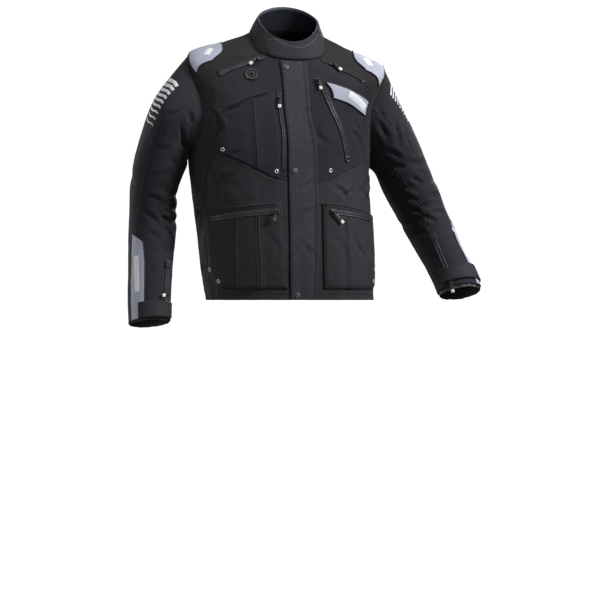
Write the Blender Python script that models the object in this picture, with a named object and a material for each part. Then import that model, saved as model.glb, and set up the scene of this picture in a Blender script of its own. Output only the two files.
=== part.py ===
"""Motorcycle jacket, hollow as it is worn: a short enduro jacket in cloth walls, with a stand
collar, a snapped storm flap over the front, bellows pockets, zips and strapped cuffs.

Run it with: blender --background --python part.py

Millimetres in the tables, metres in the scene. +Z is up, the front faces -Y and the wearer's
left is +X, so "left" and "right" are the wearer's. The origin is the middle of the neck seam.

A point on the body cloth has two numbers. Turn goes round it: 0 is the centre front, 1 the left
side, 2 the centre back, and the right side is -1. Level goes up it: the rows of BODY_RINGS, from
0 at the hem to 9 at the neck seam. A point on a sleeve has a degree round it, 0 on the outside,
90 at the back, 180 inside and 270 in front, and a step down it, the rows of its own table.
"""

import math

import bmesh
import bpy
import numpy as np
from mathutils import Matrix, Vector

MM = 0.001

# --- Cloth and gaps, mm ---------------------------------------------------------------------
SHELL = 2.0
DOUBLE = 3.0
PATCH = 1.2
LINING = 1.0
SEAM_GAP = 0.3
LIFT = 0.6  # under a piece that lies on another
MITRE = 0.7  # how far walls that meet at an angle may lengthen their shared edge: 1 is not at all
TURN_LENGTH, LEVEL_LENGTH = 300, 80  # about how long one turn and one level of cloth are

# --- Body: one row for each level -----------------------------------------------------------
# z_side, z_front, z_back: heights at the side, centre front and centre back
# half: half width; front, back: depth before and behind the middle; square: 2 is an ellipse
# shift: how far the wearer's stance pushes it to +X; twist: degrees its front turns to +X
# lean: how much lower its +X side hangs; brim: 1 keeps it low all across the front and back
BODY_COLUMNS = (
    "z_side", "z_front", "z_back", "half", "front", "back", "square", "shift", "twist", "lean", "brim",
)
BODY_RINGS = {
    "hem": (-671, -671, -671, 220, 132, 120, 2.5, 8, 4, 0, 0),
    "pocket": (-590, -590, -590, 226, 141, 121, 2.5, 0, 4, 0, 0),
    "waist": (-490, -490, -490, 230, 144, 118, 2.5, -8, 5, 2, 0),
    "belly": (-400, -402, -400, 235, 146, 121, 2.5, -16, 6, 6, 0),
    "chest": (-315, -322, -315, 239, 147, 127, 2.5, -22, 6, 9, 0),
    "bust": (-232, -256, -236, 240, 144, 131, 2.4, -19, 3, 11, 0),
    "blade": (-150, -196, -160, 243, 134, 130, 2.3, -14, -2, 12, 0),
    "shoulder": (-54, -138, -88, 257, 115, 119, 2.2, -3, -7, 13, 0),
    "yoke": (-14, -92, -22, 172, 96, 98, 2.1, 0, -6, 8, 0.2),
    "neck": (16, -55, 30, 97, 80, 72, 2.4, 0, -3, 2, 0.8),
}
NECK = len(BODY_RINGS) - 1
DIP = 1.6  # how a ring falls from the side to the front: 2 is a plane curve

# --- Collar: the same columns, from the neck seam up ----------------------------------------
COLLAR_RINGS = {
    "seam": BODY_RINGS["neck"],
    "middle": (38, -26, 64, 87, 71, 66, 2.2, 1, -3, 1, 0.6),
    "top": (56, -5, 98, 79, 62, 63, 2.0, 3, -3, 0, 0.3),
}

# --- Armholes: an oval round the side of the body -------------------------------------------
ARMHOLE = {"top": 7.0, "bottom": 4.15, "forward": 0.30, "backward": 0.33}

# --- Sleeves: one row for each ring below the armhole ---------------------------------------
# x, y, z: the ring's middle, with x measured outwards; lean: how far its outer end is tilted
# up; pitch: how far it faces forwards; wide, deep: its half sizes, side to side and through
SLEEVE_COLUMNS = ("x", "y", "z", "lean", "pitch", "wide", "deep")
SLEEVES = {
    "right": {
        "cap": (307, 4, -222, 60, 0, 80, 80),
        "upper arm": (330, 8, -306, 12, -3, 66, 74),
        "above elbow": (348, 12, -378, 5, -2, 61, 68),
        "elbow": (351, 12, -440, 4, 5, 60, 64),
        "below elbow": (356, 2, -500, 5, 12, 60, 60),
        "forearm": (366, -22, -585, 3, 15, 57, 56),
        "wrist": (374, -46, -665, 1, 14, 55, 52),
        "cuff": (377, -64, -728, -3, 13, 53, 48),
    },
    "left": {
        "cap": (282, 4, -262, 62, 0, 84, 80),
        "upper arm": (325, 8, -350, 30, -3, 68, 72),
        "above elbow": (356, 12, -406, 27, -1, 66, 68),
        "elbow": (376, 6, -455, 25, 8, 62, 64),
        "below elbow": (397, -10, -505, 25, 16, 58, 60),
        "forearm": (419, -36, -562, 24, 20, 55, 56),
        "wrist": (436, -62, -612, 16, 22, 55, 52),
        "cuff": (444, -82, -646, 4, 23, 57, 48),
    },
}


# --- Collar wrap and storm flap ----------------------------------------------------------------
# the storm flap's two edges: level, turn of the right edge and of the left edge
FLAP = (
    (0.03, -0.125, 0.080),
    (1.42, -0.105, 0.108),
    (2.80, -0.093, 0.120),
    (4.45, -0.073, 0.130),
    (5.80, -0.060, 0.118),
    (7.05, -0.055, 0.110),
    (8.00, -0.105, 0.140),
    (8.80, -0.200, 0.200),
)
FLAP_ROWS = 24
# the collar's closing tab, from its round end on the right: turn, lower edge, upper edge as rise
TAB = (
    (-0.480, 0.75, 1.12),
    (-0.450, 0.33, 1.46),
    (-0.360, 0.12, 1.60),
    (-0.147, 0.08, 1.37),
    (0.103, 0.08, 1.09),
    (0.270, 0.08, 1.18),
    (0.520, 0.08, 1.46),
    (0.720, 0.10, 1.62),
    (0.790, 0.35, 1.45),
)
SNAPS = {"top": (-0.085, 8.34), "middle": (-0.040, 3.70), "bottom": (-0.070, 0.22)}
SNAP_RADIUS, SNAP_HEIGHT = 7.5, 2.2
PORT = (-0.305, 7.47)
PORT_RADIUS, PORT_HOLE, PORT_HEIGHT = 16.5, 4.0, 3.0

# --- Pockets: (turn, level) along the top and the bottom, from the front edge outwards --------
CHEST_POCKET = {
    "top": ((0.118, 6.85), (0.175, 6.66), (0.29, 6.28), (0.42, 5.84), (0.540, 5.45)),
    "bottom": ((0.150, 3.44), (0.2, 3.50), (0.32, 3.76), (0.43, 3.99), (0.555, 4.16)),
}
# box pleats down the pockets: turn, half width in turns, height in mm
CHEST_PLEATS = ((0.33, 0.035, 1.2),)
LOWER_POCKET = {
    "top": ((0.150, 2.74), (0.35, 2.66), (0.60, 2.52), (0.80, 2.40)),
    "bottom": ((0.140, 0.44), (0.35, 0.44), (0.60, 0.44), (0.715, 0.50)),
    "outer": ((0.715, 0.50), (0.805, 0.90), (0.800, 1.60), (0.80, 2.40)),
}
POCKET_DEPTH = 4.0
POCKET_PLEATS = {"right": ((0.328, 0.032, 2.4), (0.503, 0.032, 2.4)), "left": ((0.343, 0.032, 2.4),)}

# --- Patches: four curves of (turn, level) -----------------------------------------------------
CHEST_PATCH = {
    "lower": ((0.268, 6.61), (0.385, 6.35), (0.488, 6.05), (0.575, 5.80)),
    "upper": ((0.242, 7.42), (0.323, 7.09), (0.440, 6.67), (0.592, 6.27)),
}
SHOULDER_PATCH = {
    "armhole": ((0.685, 6.66), (0.79, 6.86), (0.89, 7.06), (1.0, 7.14), (1.14, 7.05), (1.25, 6.84)),
    "neck": ((0.630, 7.36), (0.725, 7.78), (0.85, 7.96), (1.0, 8.0), (1.15, 7.92), (1.27, 7.70)),
}
# on the sleeves: (degree, step)
FOREARM_PATCH = {
    "right": {
        "top": ((302, 5.46), (313, 5.36), (324, 5.26), (336, 5.16)),
        "bottom": ((296, 7.93), (309, 7.93), (322, 7.93), (336, 7.93)),
        "inner": ((302, 5.46), (294, 6.16), (292, 7.28), (296, 7.93)),
    },
    "left": {
        "top": ((318, 4.92), (326, 4.80), (334, 4.75), (352, 5.0)),
        "bottom": ((312, 7.93), (322, 7.93), (334, 7.93), (350, 7.93)),
        "inner": ((318, 4.92), (314, 5.6), (313, 6.8), (312, 7.93)),
    },
}
CUFF_STRAP = {
    "right": {"upper": ((208, 7.26), (308, 7.30)), "lower": ((206, 7.90), (308, 7.93))},
    "left": {"upper": ((222, 6.62), (358, 6.86)), "lower": ((216, 7.52), (358, 7.60))},
}

# --- Zips --------------------------------------------------------------------------------------
# lies: what the zip is sewn on; width: of its tape; slider: how far along the path; heading:
# degrees from straight down to the pull, towards the wearer's left; pull: its length
ZIP_COLUMNS = ("lies", "width", "slider", "heading", "pull", "path")
ZIPS = {
    "vent_right": ("body", 10, 0.22, -47, 26, ((-0.432, 8.8), (-0.436, 8.3), (-0.448, 7.65), (-0.476, 6.96))),
    "vent_left": ("body", 10, 0.30, 42, 28, ((0.455, 8.72), (0.473, 8.2), (0.490, 7.6), (0.515, 6.98))),
    "chest_right": ("body", 10, 0.10, -6, 26, ((-0.079, 6.86), (-0.088, 5.38), (-0.100, 4.5), (-0.112, 3.7))),
    "chest_left": ("body", 14, 0.055, 8, 29, (
        (0.200, 7.70), (0.203, 7.20), (0.226, 6.68), (0.270, 6.20), (0.311, 5.70), (0.336, 5.20),
        (0.355, 4.72), (0.371, 4.22),
    )),
    "pocket_right": ("pocket", 13, 0.93, -5, 24, ((-0.70, 2.24), (-0.45, 2.36), (-0.17, 2.48))),
    "pocket_left": ("pocket", 13, 0.05, 45, 40, ((0.20, 2.51), (0.42, 2.44), (0.62, 2.31))),
    "cuff_right": ("sleeve right", 11, 0.44, -77, 19, ((234, 6.03), (231, 7.13), (228, 7.92))),
    "cuff_left": ("sleeve left", 11, 0.95, 18, 26, ((252, 5.11), (245, 6.6), (236, 7.92))),
}
TAPE = 1.5
ZIP_FACES = 8
# the slider: a plate with an arch over it, whose bar the pull's eye turns on
PLATE = (11, 14, 2.4)
PLATE_CORNER = 3.0
ARCH_WIDTH, ARCH_CLEAR, ARCH_BAR, ARCH_RISE = 7.0, 3.8, 1.7, 2.3
EYE_OUTER, EYE_INNER, EYE_WIDTH = 2.6, 1.5, 3.2
GRIP_WIDTH, GRIP_SWELL = 7.0, 1.3  # the grip's width, and how much thicker it is than the neck
NECK_LENGTH, NECK_SLOPE = 5.0, 1.0
PULL_TILT = 9  # degrees from the zip's plane down to the cloth, where a pull rests on it


# --- Seams: faces along each, and its points as (turn, level) --------------------------------
SEAMS = {
    "centre front lower": (12, ((0, 0), (0, 3.3))),
    "centre front upper": (14, ((0, 3.3), (0, 9))),
    "cross": (8, ((0, 3.3), (0.2, 3.44), (0.32, 3.7), (0.43, 3.93), (0.58, 4.1))),
    "strip": (9, ((0.58, 4.1), (0.562, 5.3), (0.60, 6.2), (0.52, 6.9))),
    "welt": (5, ((0.52, 6.9), (0.51, 7.6), (0.49, 8.3), (0.45, 9))),
    "neck front": (8, ((0, 9), (0.45, 9))),
    "neck side": (4, ((0.45, 9), (1, 9))),
    "neck back side": (4, ((1, 9), (1.45, 9))),
    "neck back": (6, ((1.45, 9), (2, 9))),
    "shoulder": (5, ((1, 7), (1, 9))),
    "back yoke": (10, ((1.33, 5.575), (1.42, 6.6), (1.46, 7.7), (1.45, 9))),
    "underarm front": (4, ((0.58, 4.1), (0.788, 4.567))),
    "side front": (12, ((0.86, 0), (0.79, 2.46), (0.67, 3.7), (0.58, 4.1))),
    "side back": (12, ((1.22, 0), (1.22, 3), (1.165, 4.341))),
    "hem front": (8, ((0, 0), (0.86, 0))),
    "hem side": (8, ((0.86, 0), (1.22, 0))),
    "hem back": (6, ((1.22, 0), (2, 0))),
    # the right side's own
    "right strip": (9, ((0.58, 4.1), (0.558, 5.3), (0.547, 6.2), (0.507, 6.9))),
    "right welt": (5, ((0.507, 6.9), (0.482, 7.6), (0.468, 8.3), (0.45, 9))),
}
# the armhole seam in arcs: faces, and the degrees it runs between
ARMHOLE_ARCS = {
    "front": (9, 225, 360),
    "top": (5, 0, 60),
    "back": (4, 60, 90),
    "underarm back": (4, 90, 150),
    "underarm": (4, 150, 225),
}
ROWS_IN_STEP = (2, 3, 2, 4, 4, 2, 2, 1)  # most of the sleeve's rows are where it folds
# the gusset's two seams down the sleeve: step, degree of its front seam and of its back seam
GUSSET = ((0, 225, 150), (2, 243, 132), (4.1, 264, 118), (5.3, 216, 150), (6.5, 205, 160), (8, 205, 165))
# the sleeve's long seam, from the armhole to under the forearm patch: step, degree
LONG_SEAM = ((0, 285), (0.85, 285), (1.65, 295), (2.54, 304), (3.93, 314), (5.2, 320), (8, 320))

# --- Folds: soft troughs and ridges, depth in mm and a trough below zero ---------------------
# on the body: turn, level, reach in turns, half width in levels, slant in levels for each turn
BODY_FOLDS = (
    (0.66, 3.55, 0.30, 0.16, 2.2, -3.5),
    (0.70, 3.05, 0.26, 0.14, 1.6, -2.5),
    (0.99, 1.95, 0.20, 0.22, -0.9, -4.0),
    (-0.66, 3.60, 0.30, 0.16, -2.2, -3.5),
    (-0.72, 3.00, 0.28, 0.14, -1.4, -2.5),
    (-0.99, 1.85, 0.20, 0.22, 0.8, -4.0),
    (1.50, 3.30, 0.42, 0.17, 1.2, -4.5),
    (2.45, 3.10, 0.46, 0.17, -1.3, -4.5),
    (1.75, 2.10, 0.55, 0.16, 0.5, -4.0),
    (2.20, 1.20, 0.50, 0.15, -0.4, -3.0),
)
# on each sleeve: degree, step, reach in degrees, half width in steps, slant in steps for each
# 90 degrees, depth
SLEEVE_FOLDS = {
    "right": (
        (230, 1.25, 60, 0.17, 0.45, -5),
        (225, 1.95, 65, 0.15, 0.30, -4),
        (215, 3.25, 70, 0.15, -0.30, -5),
        (225, 3.90, 75, 0.15, -0.15, -6),
        (220, 4.50, 70, 0.14, 0.20, -5),
        (120, 4.10, 70, 0.17, 0.20, -4),
        (30, 2.60, 60, 0.20, -0.40, -3),
        (240, 5.60, 50, 0.16, 0.30, -3),
    ),
    "left": (
        (235, 1.30, 60, 0.17, 0.55, -6),
        (240, 2.20, 65, 0.15, 0.35, -4),
        (245, 3.30, 75, 0.15, 0.30, -6),
        (235, 3.95, 75, 0.15, 0.10, -6),
        (240, 4.60, 65, 0.14, -0.15, -4),
        (130, 3.70, 70, 0.17, 0.25, -4),
        (320, 2.40, 55, 0.20, 0.50, -3),
    ),
}


def table(rows):
    """The numbers of a table, a row for each ring."""
    return np.array(list(rows.values()), float)


def smooth_between(before, start, end, after, part):
    """The part of the way from start to end, on a smooth curve through four rows."""
    out_of, into = (end - before) / 2, (after - start) / 2
    return (
        start * (2 * part**3 - 3 * part**2 + 1)
        + out_of * (part**3 - 2 * part**2 + part)
        + end * (3 * part**2 - 2 * part**3)
        + into * (part**3 - part**2)
    )


def smooth_row(rows, at):
    """A table read between its rows, at 2.5 for instance, along a smooth curve."""
    at = np.clip(np.asarray(at, float), 0, len(rows) - 1)
    first = np.minimum(at.astype(int), len(rows) - 2)
    before, after = np.maximum(first - 1, 0), np.minimum(first + 2, len(rows) - 1)
    return smooth_between(rows[before], rows[first], rows[first + 1], rows[after], (at - first)[..., None])


def ring_point(rings, turn, level):
    """Points of a surface through a table of rings."""
    turn, level = np.broadcast_arrays(np.asarray(turn, float), np.asarray(level, float))
    row = dict(zip(BODY_COLUMNS, np.moveaxis(smooth_row(table(rings), level), -1, 0)))
    angle = np.radians(90 * (turn - 1))
    across, through = np.cos(angle), np.sin(angle)
    square = row["square"]
    reach = (np.abs(across) ** square + np.abs(through) ** square) ** (-1 / square)
    ahead = through < 0
    x = row["half"] * across * reach
    y = np.where(ahead, row["front"], row["back"]) * through * reach
    drop = np.where(ahead, row["z_front"], row["z_back"]) - row["z_side"]
    fall = np.abs(through) ** DIP
    fall += row["brim"] * (1 - (1 - np.abs(through)) ** 2 - fall)
    z = row["z_side"] + drop * fall - row["lean"] * across * reach
    twist = np.radians(row["twist"])
    x, y = x * np.cos(twist) - y * np.sin(twist), x * np.sin(twist) + y * np.cos(twist)
    return np.stack([x + row["shift"], y, z], -1)


def body_middle(turn, level):
    """The body cloth without its folds."""
    return ring_point(BODY_RINGS, turn, level)


def armhole(side, degree):
    """The turn and level of the armhole seam, 0 at its top and 270 in front."""
    rad = np.radians(degree)
    middle = (ARMHOLE["top"] + ARMHOLE["bottom"]) / 2
    half = (ARMHOLE["top"] - ARMHOLE["bottom"]) / 2
    across = np.sin(rad)
    reach = np.where(across < 0, ARMHOLE["forward"], ARMHOLE["backward"])
    return side * (1 + reach * across), middle + half * np.cos(rad)


def sleeve_middle(name, degree, step):
    """One sleeve's cloth without its folds, from the armhole seam down."""
    side = {"left": 1, "right": -1}[name]
    degree, step = np.broadcast_arrays(np.asarray(degree, float), np.asarray(step, float))
    rad = np.radians(degree)
    rings = [body_middle(*armhole(side, degree))]
    for numbers in SLEEVES[name].values():
        row = dict(zip(SLEEVE_COLUMNS, numbers))
        lean, pitch = math.radians(row["lean"]), math.radians(row["pitch"])
        outwards = np.array([side * math.cos(lean), 0, math.sin(lean)])
        along = np.array([side * math.sin(lean), 0, -math.cos(lean)])
        backwards = np.array([0, math.cos(pitch), 0]) + along * math.sin(pitch)
        rings.append(
            np.array([side * row["x"], row["y"], row["z"]])
            + row["wide"] * np.cos(rad)[..., None] * outwards
            + row["deep"] * np.sin(rad)[..., None] * backwards
        )
    rings = np.stack(rings)
    step = np.clip(step, 0, len(rings) - 1)
    first = np.minimum(step.astype(int), len(rings) - 2)

    def ring(number):
        return np.take_along_axis(rings, np.clip(number, 0, len(rings) - 1)[None, ..., None], 0)[0]

    part = (step - first)[..., None]
    return smooth_between(ring(first - 1), ring(first), ring(first + 1), ring(first + 2), part)


# --- Folds, normals and offsets ---------------------------------------------------------------
def fold_height(folds, across, along, turn_over, slant_over):
    """How far the folds move each point out. The first coordinate comes round at turn_over."""
    height = np.zeros(np.broadcast_shapes(np.shape(across), np.shape(along)))
    for at, where, reach, half, slant, depth in folds:
        beside = (across - at + turn_over / 2) % turn_over - turn_over / 2
        fade = np.clip(1 - (beside / reach) ** 2, 0, 1) ** 2
        off_line = along - where - slant * beside / slant_over
        height = height + depth * fade * np.exp(-((off_line / half) ** 2))
    return height


def unit(vectors):
    return vectors / np.linalg.norm(vectors, axis=-1, keepdims=True)


def normals(surface, across, along, steps, top):
    """Outward normals of a surface, from points just beside each point."""
    step_across, step_along = steps
    sideways = surface(across + step_across, along) - surface(across - step_across, along)
    lengthways = surface(across, np.minimum(along + step_along, top)) - surface(
        across, np.maximum(along - step_along, 0)
    )
    return unit(np.cross(sideways, lengthways))


BODY_STEPS = (0.004, 0.01)
SLEEVE_STEPS = (0.5, 0.01)


def body(turn, level):
    """The body cloth with its folds."""
    out = fold_height(BODY_FOLDS, turn, level, 4, 1)
    near_edge = np.clip((NECK - level) / 2, 0, 1)
    away = normals(body_middle, turn, level, BODY_STEPS, NECK)
    return body_middle(turn, level) + away * (out * near_edge)[..., None]


def collar(turn, rise):
    return ring_point(COLLAR_RINGS, turn, rise)


def sleeve(name, degree, step):
    """One sleeve's cloth with its folds, which die out at the armhole and the cuff."""
    last = len(SLEEVES[name])
    out = fold_height(SLEEVE_FOLDS[name], degree, step, 360, 90)
    near_edge = np.clip(step, 0, 1) * np.clip((last - step) / 1.2, 0, 1)

    def plain(degree, step):
        return sleeve_middle(name, degree, step)

    away = normals(plain, degree, step, SLEEVE_STEPS, last) * handed(name)
    return plain(degree, step) + away * (out * near_edge)[..., None]


def handed(name):
    """The sleeve's grid runs the other way round on the left."""
    return {"left": -1, "right": 1}[name]


def mitred(one, other):
    """A shared direction for two walls that meet at an angle, long enough to keep their thickness."""
    between = unit(one + other)
    return between / np.maximum((between * one).sum(-1, keepdims=True), MITRE)


def body_normal(turn, level):
    """Normals of the body cloth, shared with the collar at the neck and the sleeves at the armholes."""
    turn, level = np.broadcast_arrays(np.asarray(turn, float), np.asarray(level, float))
    away = normals(body, turn, level, BODY_STEPS, NECK)
    at_neck = mitred(away, normals(collar, turn, 0 * turn, BODY_STEPS, 2))
    away = np.where((level > NECK - 1e-6)[..., None], at_neck, away)
    for name, side in (("right", -1), ("left", 1)):
        beside = (side * turn + 2) % 4 - 3
        reach = np.where(beside < 0, ARMHOLE["forward"], ARMHOLE["backward"])
        middle = (ARMHOLE["top"] + ARMHOLE["bottom"]) / 2
        half = (ARMHOLE["top"] - ARMHOLE["bottom"]) / 2
        across, up = beside / reach, (level - middle) / half
        on_seam = np.abs(np.hypot(across, up) - 1) < 1e-3
        if on_seam.any():
            degree = np.degrees(np.arctan2(across, up)) % 360
            at_sleeve = mitred(away, sleeve_face(name, degree, 0 * degree))
            away = np.where(on_seam[..., None], at_sleeve, away)
    return away


def sleeve_face(name, degree, step):
    def one(degree, step):
        return sleeve(name, degree, step)

    return normals(one, degree, step, SLEEVE_STEPS, len(SLEEVES[name])) * handed(name)


def on_body(turn, level):
    return body(turn, level), body_normal(turn, level)


def on_collar(turn, rise):
    away = normals(collar, turn, rise, BODY_STEPS, 2)
    at_neck = mitred(away, normals(body, turn, 0 * rise + NECK, BODY_STEPS, NECK))
    return collar(turn, rise), np.where((rise < 1e-6)[..., None], at_neck, away)


def on_sleeve(name):
    side = {"left": 1, "right": -1}[name]

    def place(degree, step):
        away = sleeve_face(name, degree, step)
        turn, level = armhole(side, degree)
        at_body = mitred(away, normals(body, turn, level, BODY_STEPS, NECK))
        return sleeve(name, degree, step), np.where((step < 1e-6)[..., None], at_body, away)

    return place


# --- Grids of cloth ---------------------------------------------------------------------------
def curve(points, faces):
    """Points evenly along a smooth line through a few points given as (turn, level)."""
    points = np.array(points, float)
    fine = smooth_row(points, np.linspace(0, len(points) - 1, 40 * len(points)))
    length = np.linalg.norm(np.diff(fine * (TURN_LENGTH, LEVEL_LENGTH), axis=0), axis=1)
    length = np.concatenate([[0], np.cumsum(length)])
    even = np.linspace(0, length[-1], faces + 1)
    return np.stack([np.interp(even, length, fine[:, k]) for k in (0, 1)], -1)


def seam(name, side=1):
    """One seam's points, on the wearer's left (1) or right (-1)."""
    faces, points = SEAMS.get("right " + name, SEAMS[name]) if side < 0 else SEAMS[name]
    return curve(points, faces) * (side, 1)


def armhole_arc(name, side):
    faces, start, end = ARMHOLE_ARCS[name]
    return np.stack(armhole(side, np.linspace(start, end, faces + 1)), -1)


def joined(*curves):
    """Curves end to end."""
    return np.concatenate([curves[0]] + [piece[1:] for piece in curves[1:]])


def patch(bottom, top, start, end):
    """A grid between four curves. Bottom and top run from the start curve to the end curve."""
    u = np.linspace(0, 1, len(bottom))[None, :, None]
    v = np.linspace(0, 1, len(start))[:, None, None]
    sides = (1 - v) * bottom + v * top + (1 - u) * start[:, None] + u * end[:, None]
    corners = (1 - v) * ((1 - u) * bottom[0] + u * bottom[-1]) + v * ((1 - u) * top[0] + u * top[-1])
    return sides - corners


def drawn_in(points, away, amount):
    """The same grid with its outline moved in along the cloth, corners and bends mitred."""
    rows, columns = points.shape[:2]
    ring = [(0, column) for column in range(columns)]
    ring += [(row, columns - 1) for row in range(1, rows)]
    ring += [(rows - 1, column) for column in range(columns - 2, -1, -1)]
    ring += [(row, 0) for row in range(rows - 2, 0, -1)]
    row, column = np.array(ring).T
    edge, face = points[row, column], away[row, column]
    along = np.roll(edge, -1, 0) - edge
    after = unit(np.cross(face, along))
    before = unit(np.cross(face, np.roll(along, 1, 0)))
    cells = np.cross(points[:-1, 1:] - points[:-1, :-1], points[1:, :-1] - points[:-1, :-1])
    inwards = np.sign((cells * away[:-1, :-1]).sum())
    bend = np.maximum(1 + (before * after).sum(-1, keepdims=True), 0.4)
    moved = points.copy()
    slanted = (face**2).sum(-1, keepdims=True)  # more clearance where walls meet at an angle
    moved[row, column] += inwards * amount * slanted**2 * (before + after) / bend
    return moved


# --- Meshes -----------------------------------------------------------------------------------
def make_material(name, colour, roughness, metallic=0.0):
    material = bpy.data.materials.new(name)
    material.use_nodes = True
    shader = material.node_tree.nodes["Principled BSDF"]
    shader.inputs["Base Color"].default_value = (*colour, 1)
    shader.inputs["Roughness"].default_value = roughness
    shader.inputs["Metallic"].default_value = metallic
    return material


def make_object(name, mesh_data, material):
    """An object from a bmesh in metres, with its round faces smooth."""
    mesh = bpy.data.meshes.new(name)
    bmesh.ops.recalc_face_normals(mesh_data, faces=mesh_data.faces)
    if mesh_data.calc_volume(signed=True) < 0:  # a thin curved wall can come out turned in
        bmesh.ops.reverse_faces(mesh_data, faces=mesh_data.faces)
    mesh_data.to_mesh(mesh)
    mesh_data.free()
    mesh.materials.append(material)
    mesh.shade_smooth()
    mesh.set_sharp_from_angle(angle=math.radians(40))
    piece = bpy.data.objects.new(name, mesh)
    bpy.context.scene.collection.objects.link(piece)
    return piece


def make_wall(name, inner, outer, material):
    """A closed wall between two grids of points in mm: a grid, extruded, and set on the points."""
    rows, columns = inner.shape[:2]
    wall = bmesh.new()
    bmesh.ops.create_grid(wall, x_segments=columns - 1, y_segments=rows - 1, size=0.5)
    new = bmesh.ops.extrude_face_region(wall, geom=wall.faces[:])["geom"]
    for vertex in (item for item in new if isinstance(item, bmesh.types.BMVert)):
        vertex.co.z = 1
    for vertex in wall.verts:
        column = round((vertex.co.x + 0.5) * (columns - 1))
        row = round((vertex.co.y + 0.5) * (rows - 1))
        grid = outer if vertex.co.z > 0.5 else inner
        vertex.co = grid[row, column] * MM
    return make_object(name, wall, material)


def make_panel(name, surface, grid, material, low=-SHELL / 2, high=SHELL / 2, gap=SEAM_GAP):
    """A panel of the shell: it stops half a seam's gap short of its seams."""
    points, away = surface(grid[..., 0], grid[..., 1])
    points = drawn_in(points, away, gap / 2)
    return make_wall(name, points + away * low, points + away * high, material)


def make_overlay(name, surface, grid, material, base, thickness, raised=0.0):
    """A piece that lies on a panel, made from the panel's points moved out."""
    points, away = surface(grid[..., 0], grid[..., 1])
    top = (base + thickness + raised + np.zeros(grid.shape[:2]))[..., None]
    return make_wall(name, points + away * base, points + away * top, material)


def make_ring(name, radius, hole, height, material):
    """A disc, or a ring where it has a hole, lying on its own origin."""
    ring = bmesh.new()
    bmesh.ops.create_circle(ring, segments=16, radius=radius * MM, cap_ends=hole == 0)
    if hole:
        bmesh.ops.create_circle(ring, segments=16, radius=hole * MM)
        bmesh.ops.bridge_loops(ring, edges=ring.edges[:])
    raised = bmesh.ops.extrude_face_region(ring, geom=ring.faces[:])["geom"]
    bmesh.ops.translate(ring, verts=[v for v in raised if isinstance(v, bmesh.types.BMVert)],
                        vec=(0, 0, height * MM))
    bmesh.ops.recalc_face_normals(ring, faces=ring.faces)
    rim = [edge for edge in ring.edges
           if all(v.co.z > height * MM / 2 and v.co.xy.length > (radius - 0.5) * MM for v in edge.verts)]
    bmesh.ops.bevel(ring, geom=rim, offset=0.8 * MM, segments=1, profile=0.5, affect="EDGES", material=-1)
    return make_object(name, ring, material)


def frame_on(surface, across, along, height, heading=0.0):
    """A frame on the cloth: Z out of it, Y up it, turned so that -Y points along the heading."""
    point, away = surface(np.array([float(across)]), np.array([float(along)]))
    point, away = Vector(point[0]), Vector(unit(away)[0])
    up = Vector((0, 0, 1))
    up = (up - away * up.dot(away)).normalized()
    right = up.cross(away)
    turned = math.radians(heading)
    up_turned = up * math.cos(turned) - right * math.sin(turned)
    right_turned = right * math.cos(turned) + up * math.sin(turned)
    frame = Matrix((right_turned, up_turned, away)).transposed().to_4x4()
    frame.translation = (point + away * height) * MM
    return frame


ON_SHELL = SHELL / 2 + LIFT
ON_FLAP = ON_SHELL + DOUBLE + SEAM_GAP
ON_CURVE = SHELL / 2 + 2.5 * LIFT  # where the cloth is round, so that no facet touches
ON_SLEEVE = ON_SHELL
ON_POCKET = ON_CURVE + POCKET_DEPTH + LIFT


def make_shell(materials):
    """The cut panels of the body, seam to seam."""
    for name, side in (("right", -1), ("left", 1)):
        make_panel(
            f"front_lower_{name}",
            on_body,
            patch(seam("hem front", side), seam("cross", side),
                  seam("centre front lower", side), seam("side front", side)),
            materials["ripstop"],
        )
        make_panel(
            f"front_upper_{name}",
            on_body,
            patch(seam("cross", side), seam("neck front", side),
                  seam("centre front upper", side), joined(seam("strip", side), seam("welt", side))),
            materials["softshell"],
        )
        make_panel(
            f"yoke_front_{name}",
            on_body,
            patch(seam("underarm front", side), seam("neck side", side),
                  joined(seam("strip", side), seam("welt", side)),
                  joined(armhole_arc("front", side), seam("shoulder", side))),
            materials["stretch"],
        )
        make_panel(
            f"yoke_back_{name}",
            on_body,
            patch(armhole_arc("back", side), seam("neck back side", side),
                  joined(armhole_arc("top", side)[::-1], seam("shoulder", side)),
                  seam("back yoke", side)),
            materials["stretch"],
        )
        make_panel(
            f"side_{name}",
            on_body,
            patch(seam("hem side", side),
                  joined(seam("underarm front", side), armhole_arc("underarm", side)[::-1]),
                  seam("side front", side), seam("side back", side)),
            materials["stretch"],
        )
    left = joined(seam("side back"), armhole_arc("underarm back", 1)[::-1], seam("back yoke"))
    right = left * (-1, 1) + (4, 0)
    hem = seam("hem back")
    neck = seam("neck back")
    make_panel(
        "back",
        on_body,
        patch(joined(hem, hem[-2::-1] * (-1, 1) + (4, 0)), joined(neck, neck[-2::-1] * (-1, 1) + (4, 0)),
              left, right),
        materials["softshell"],
    )


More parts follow.
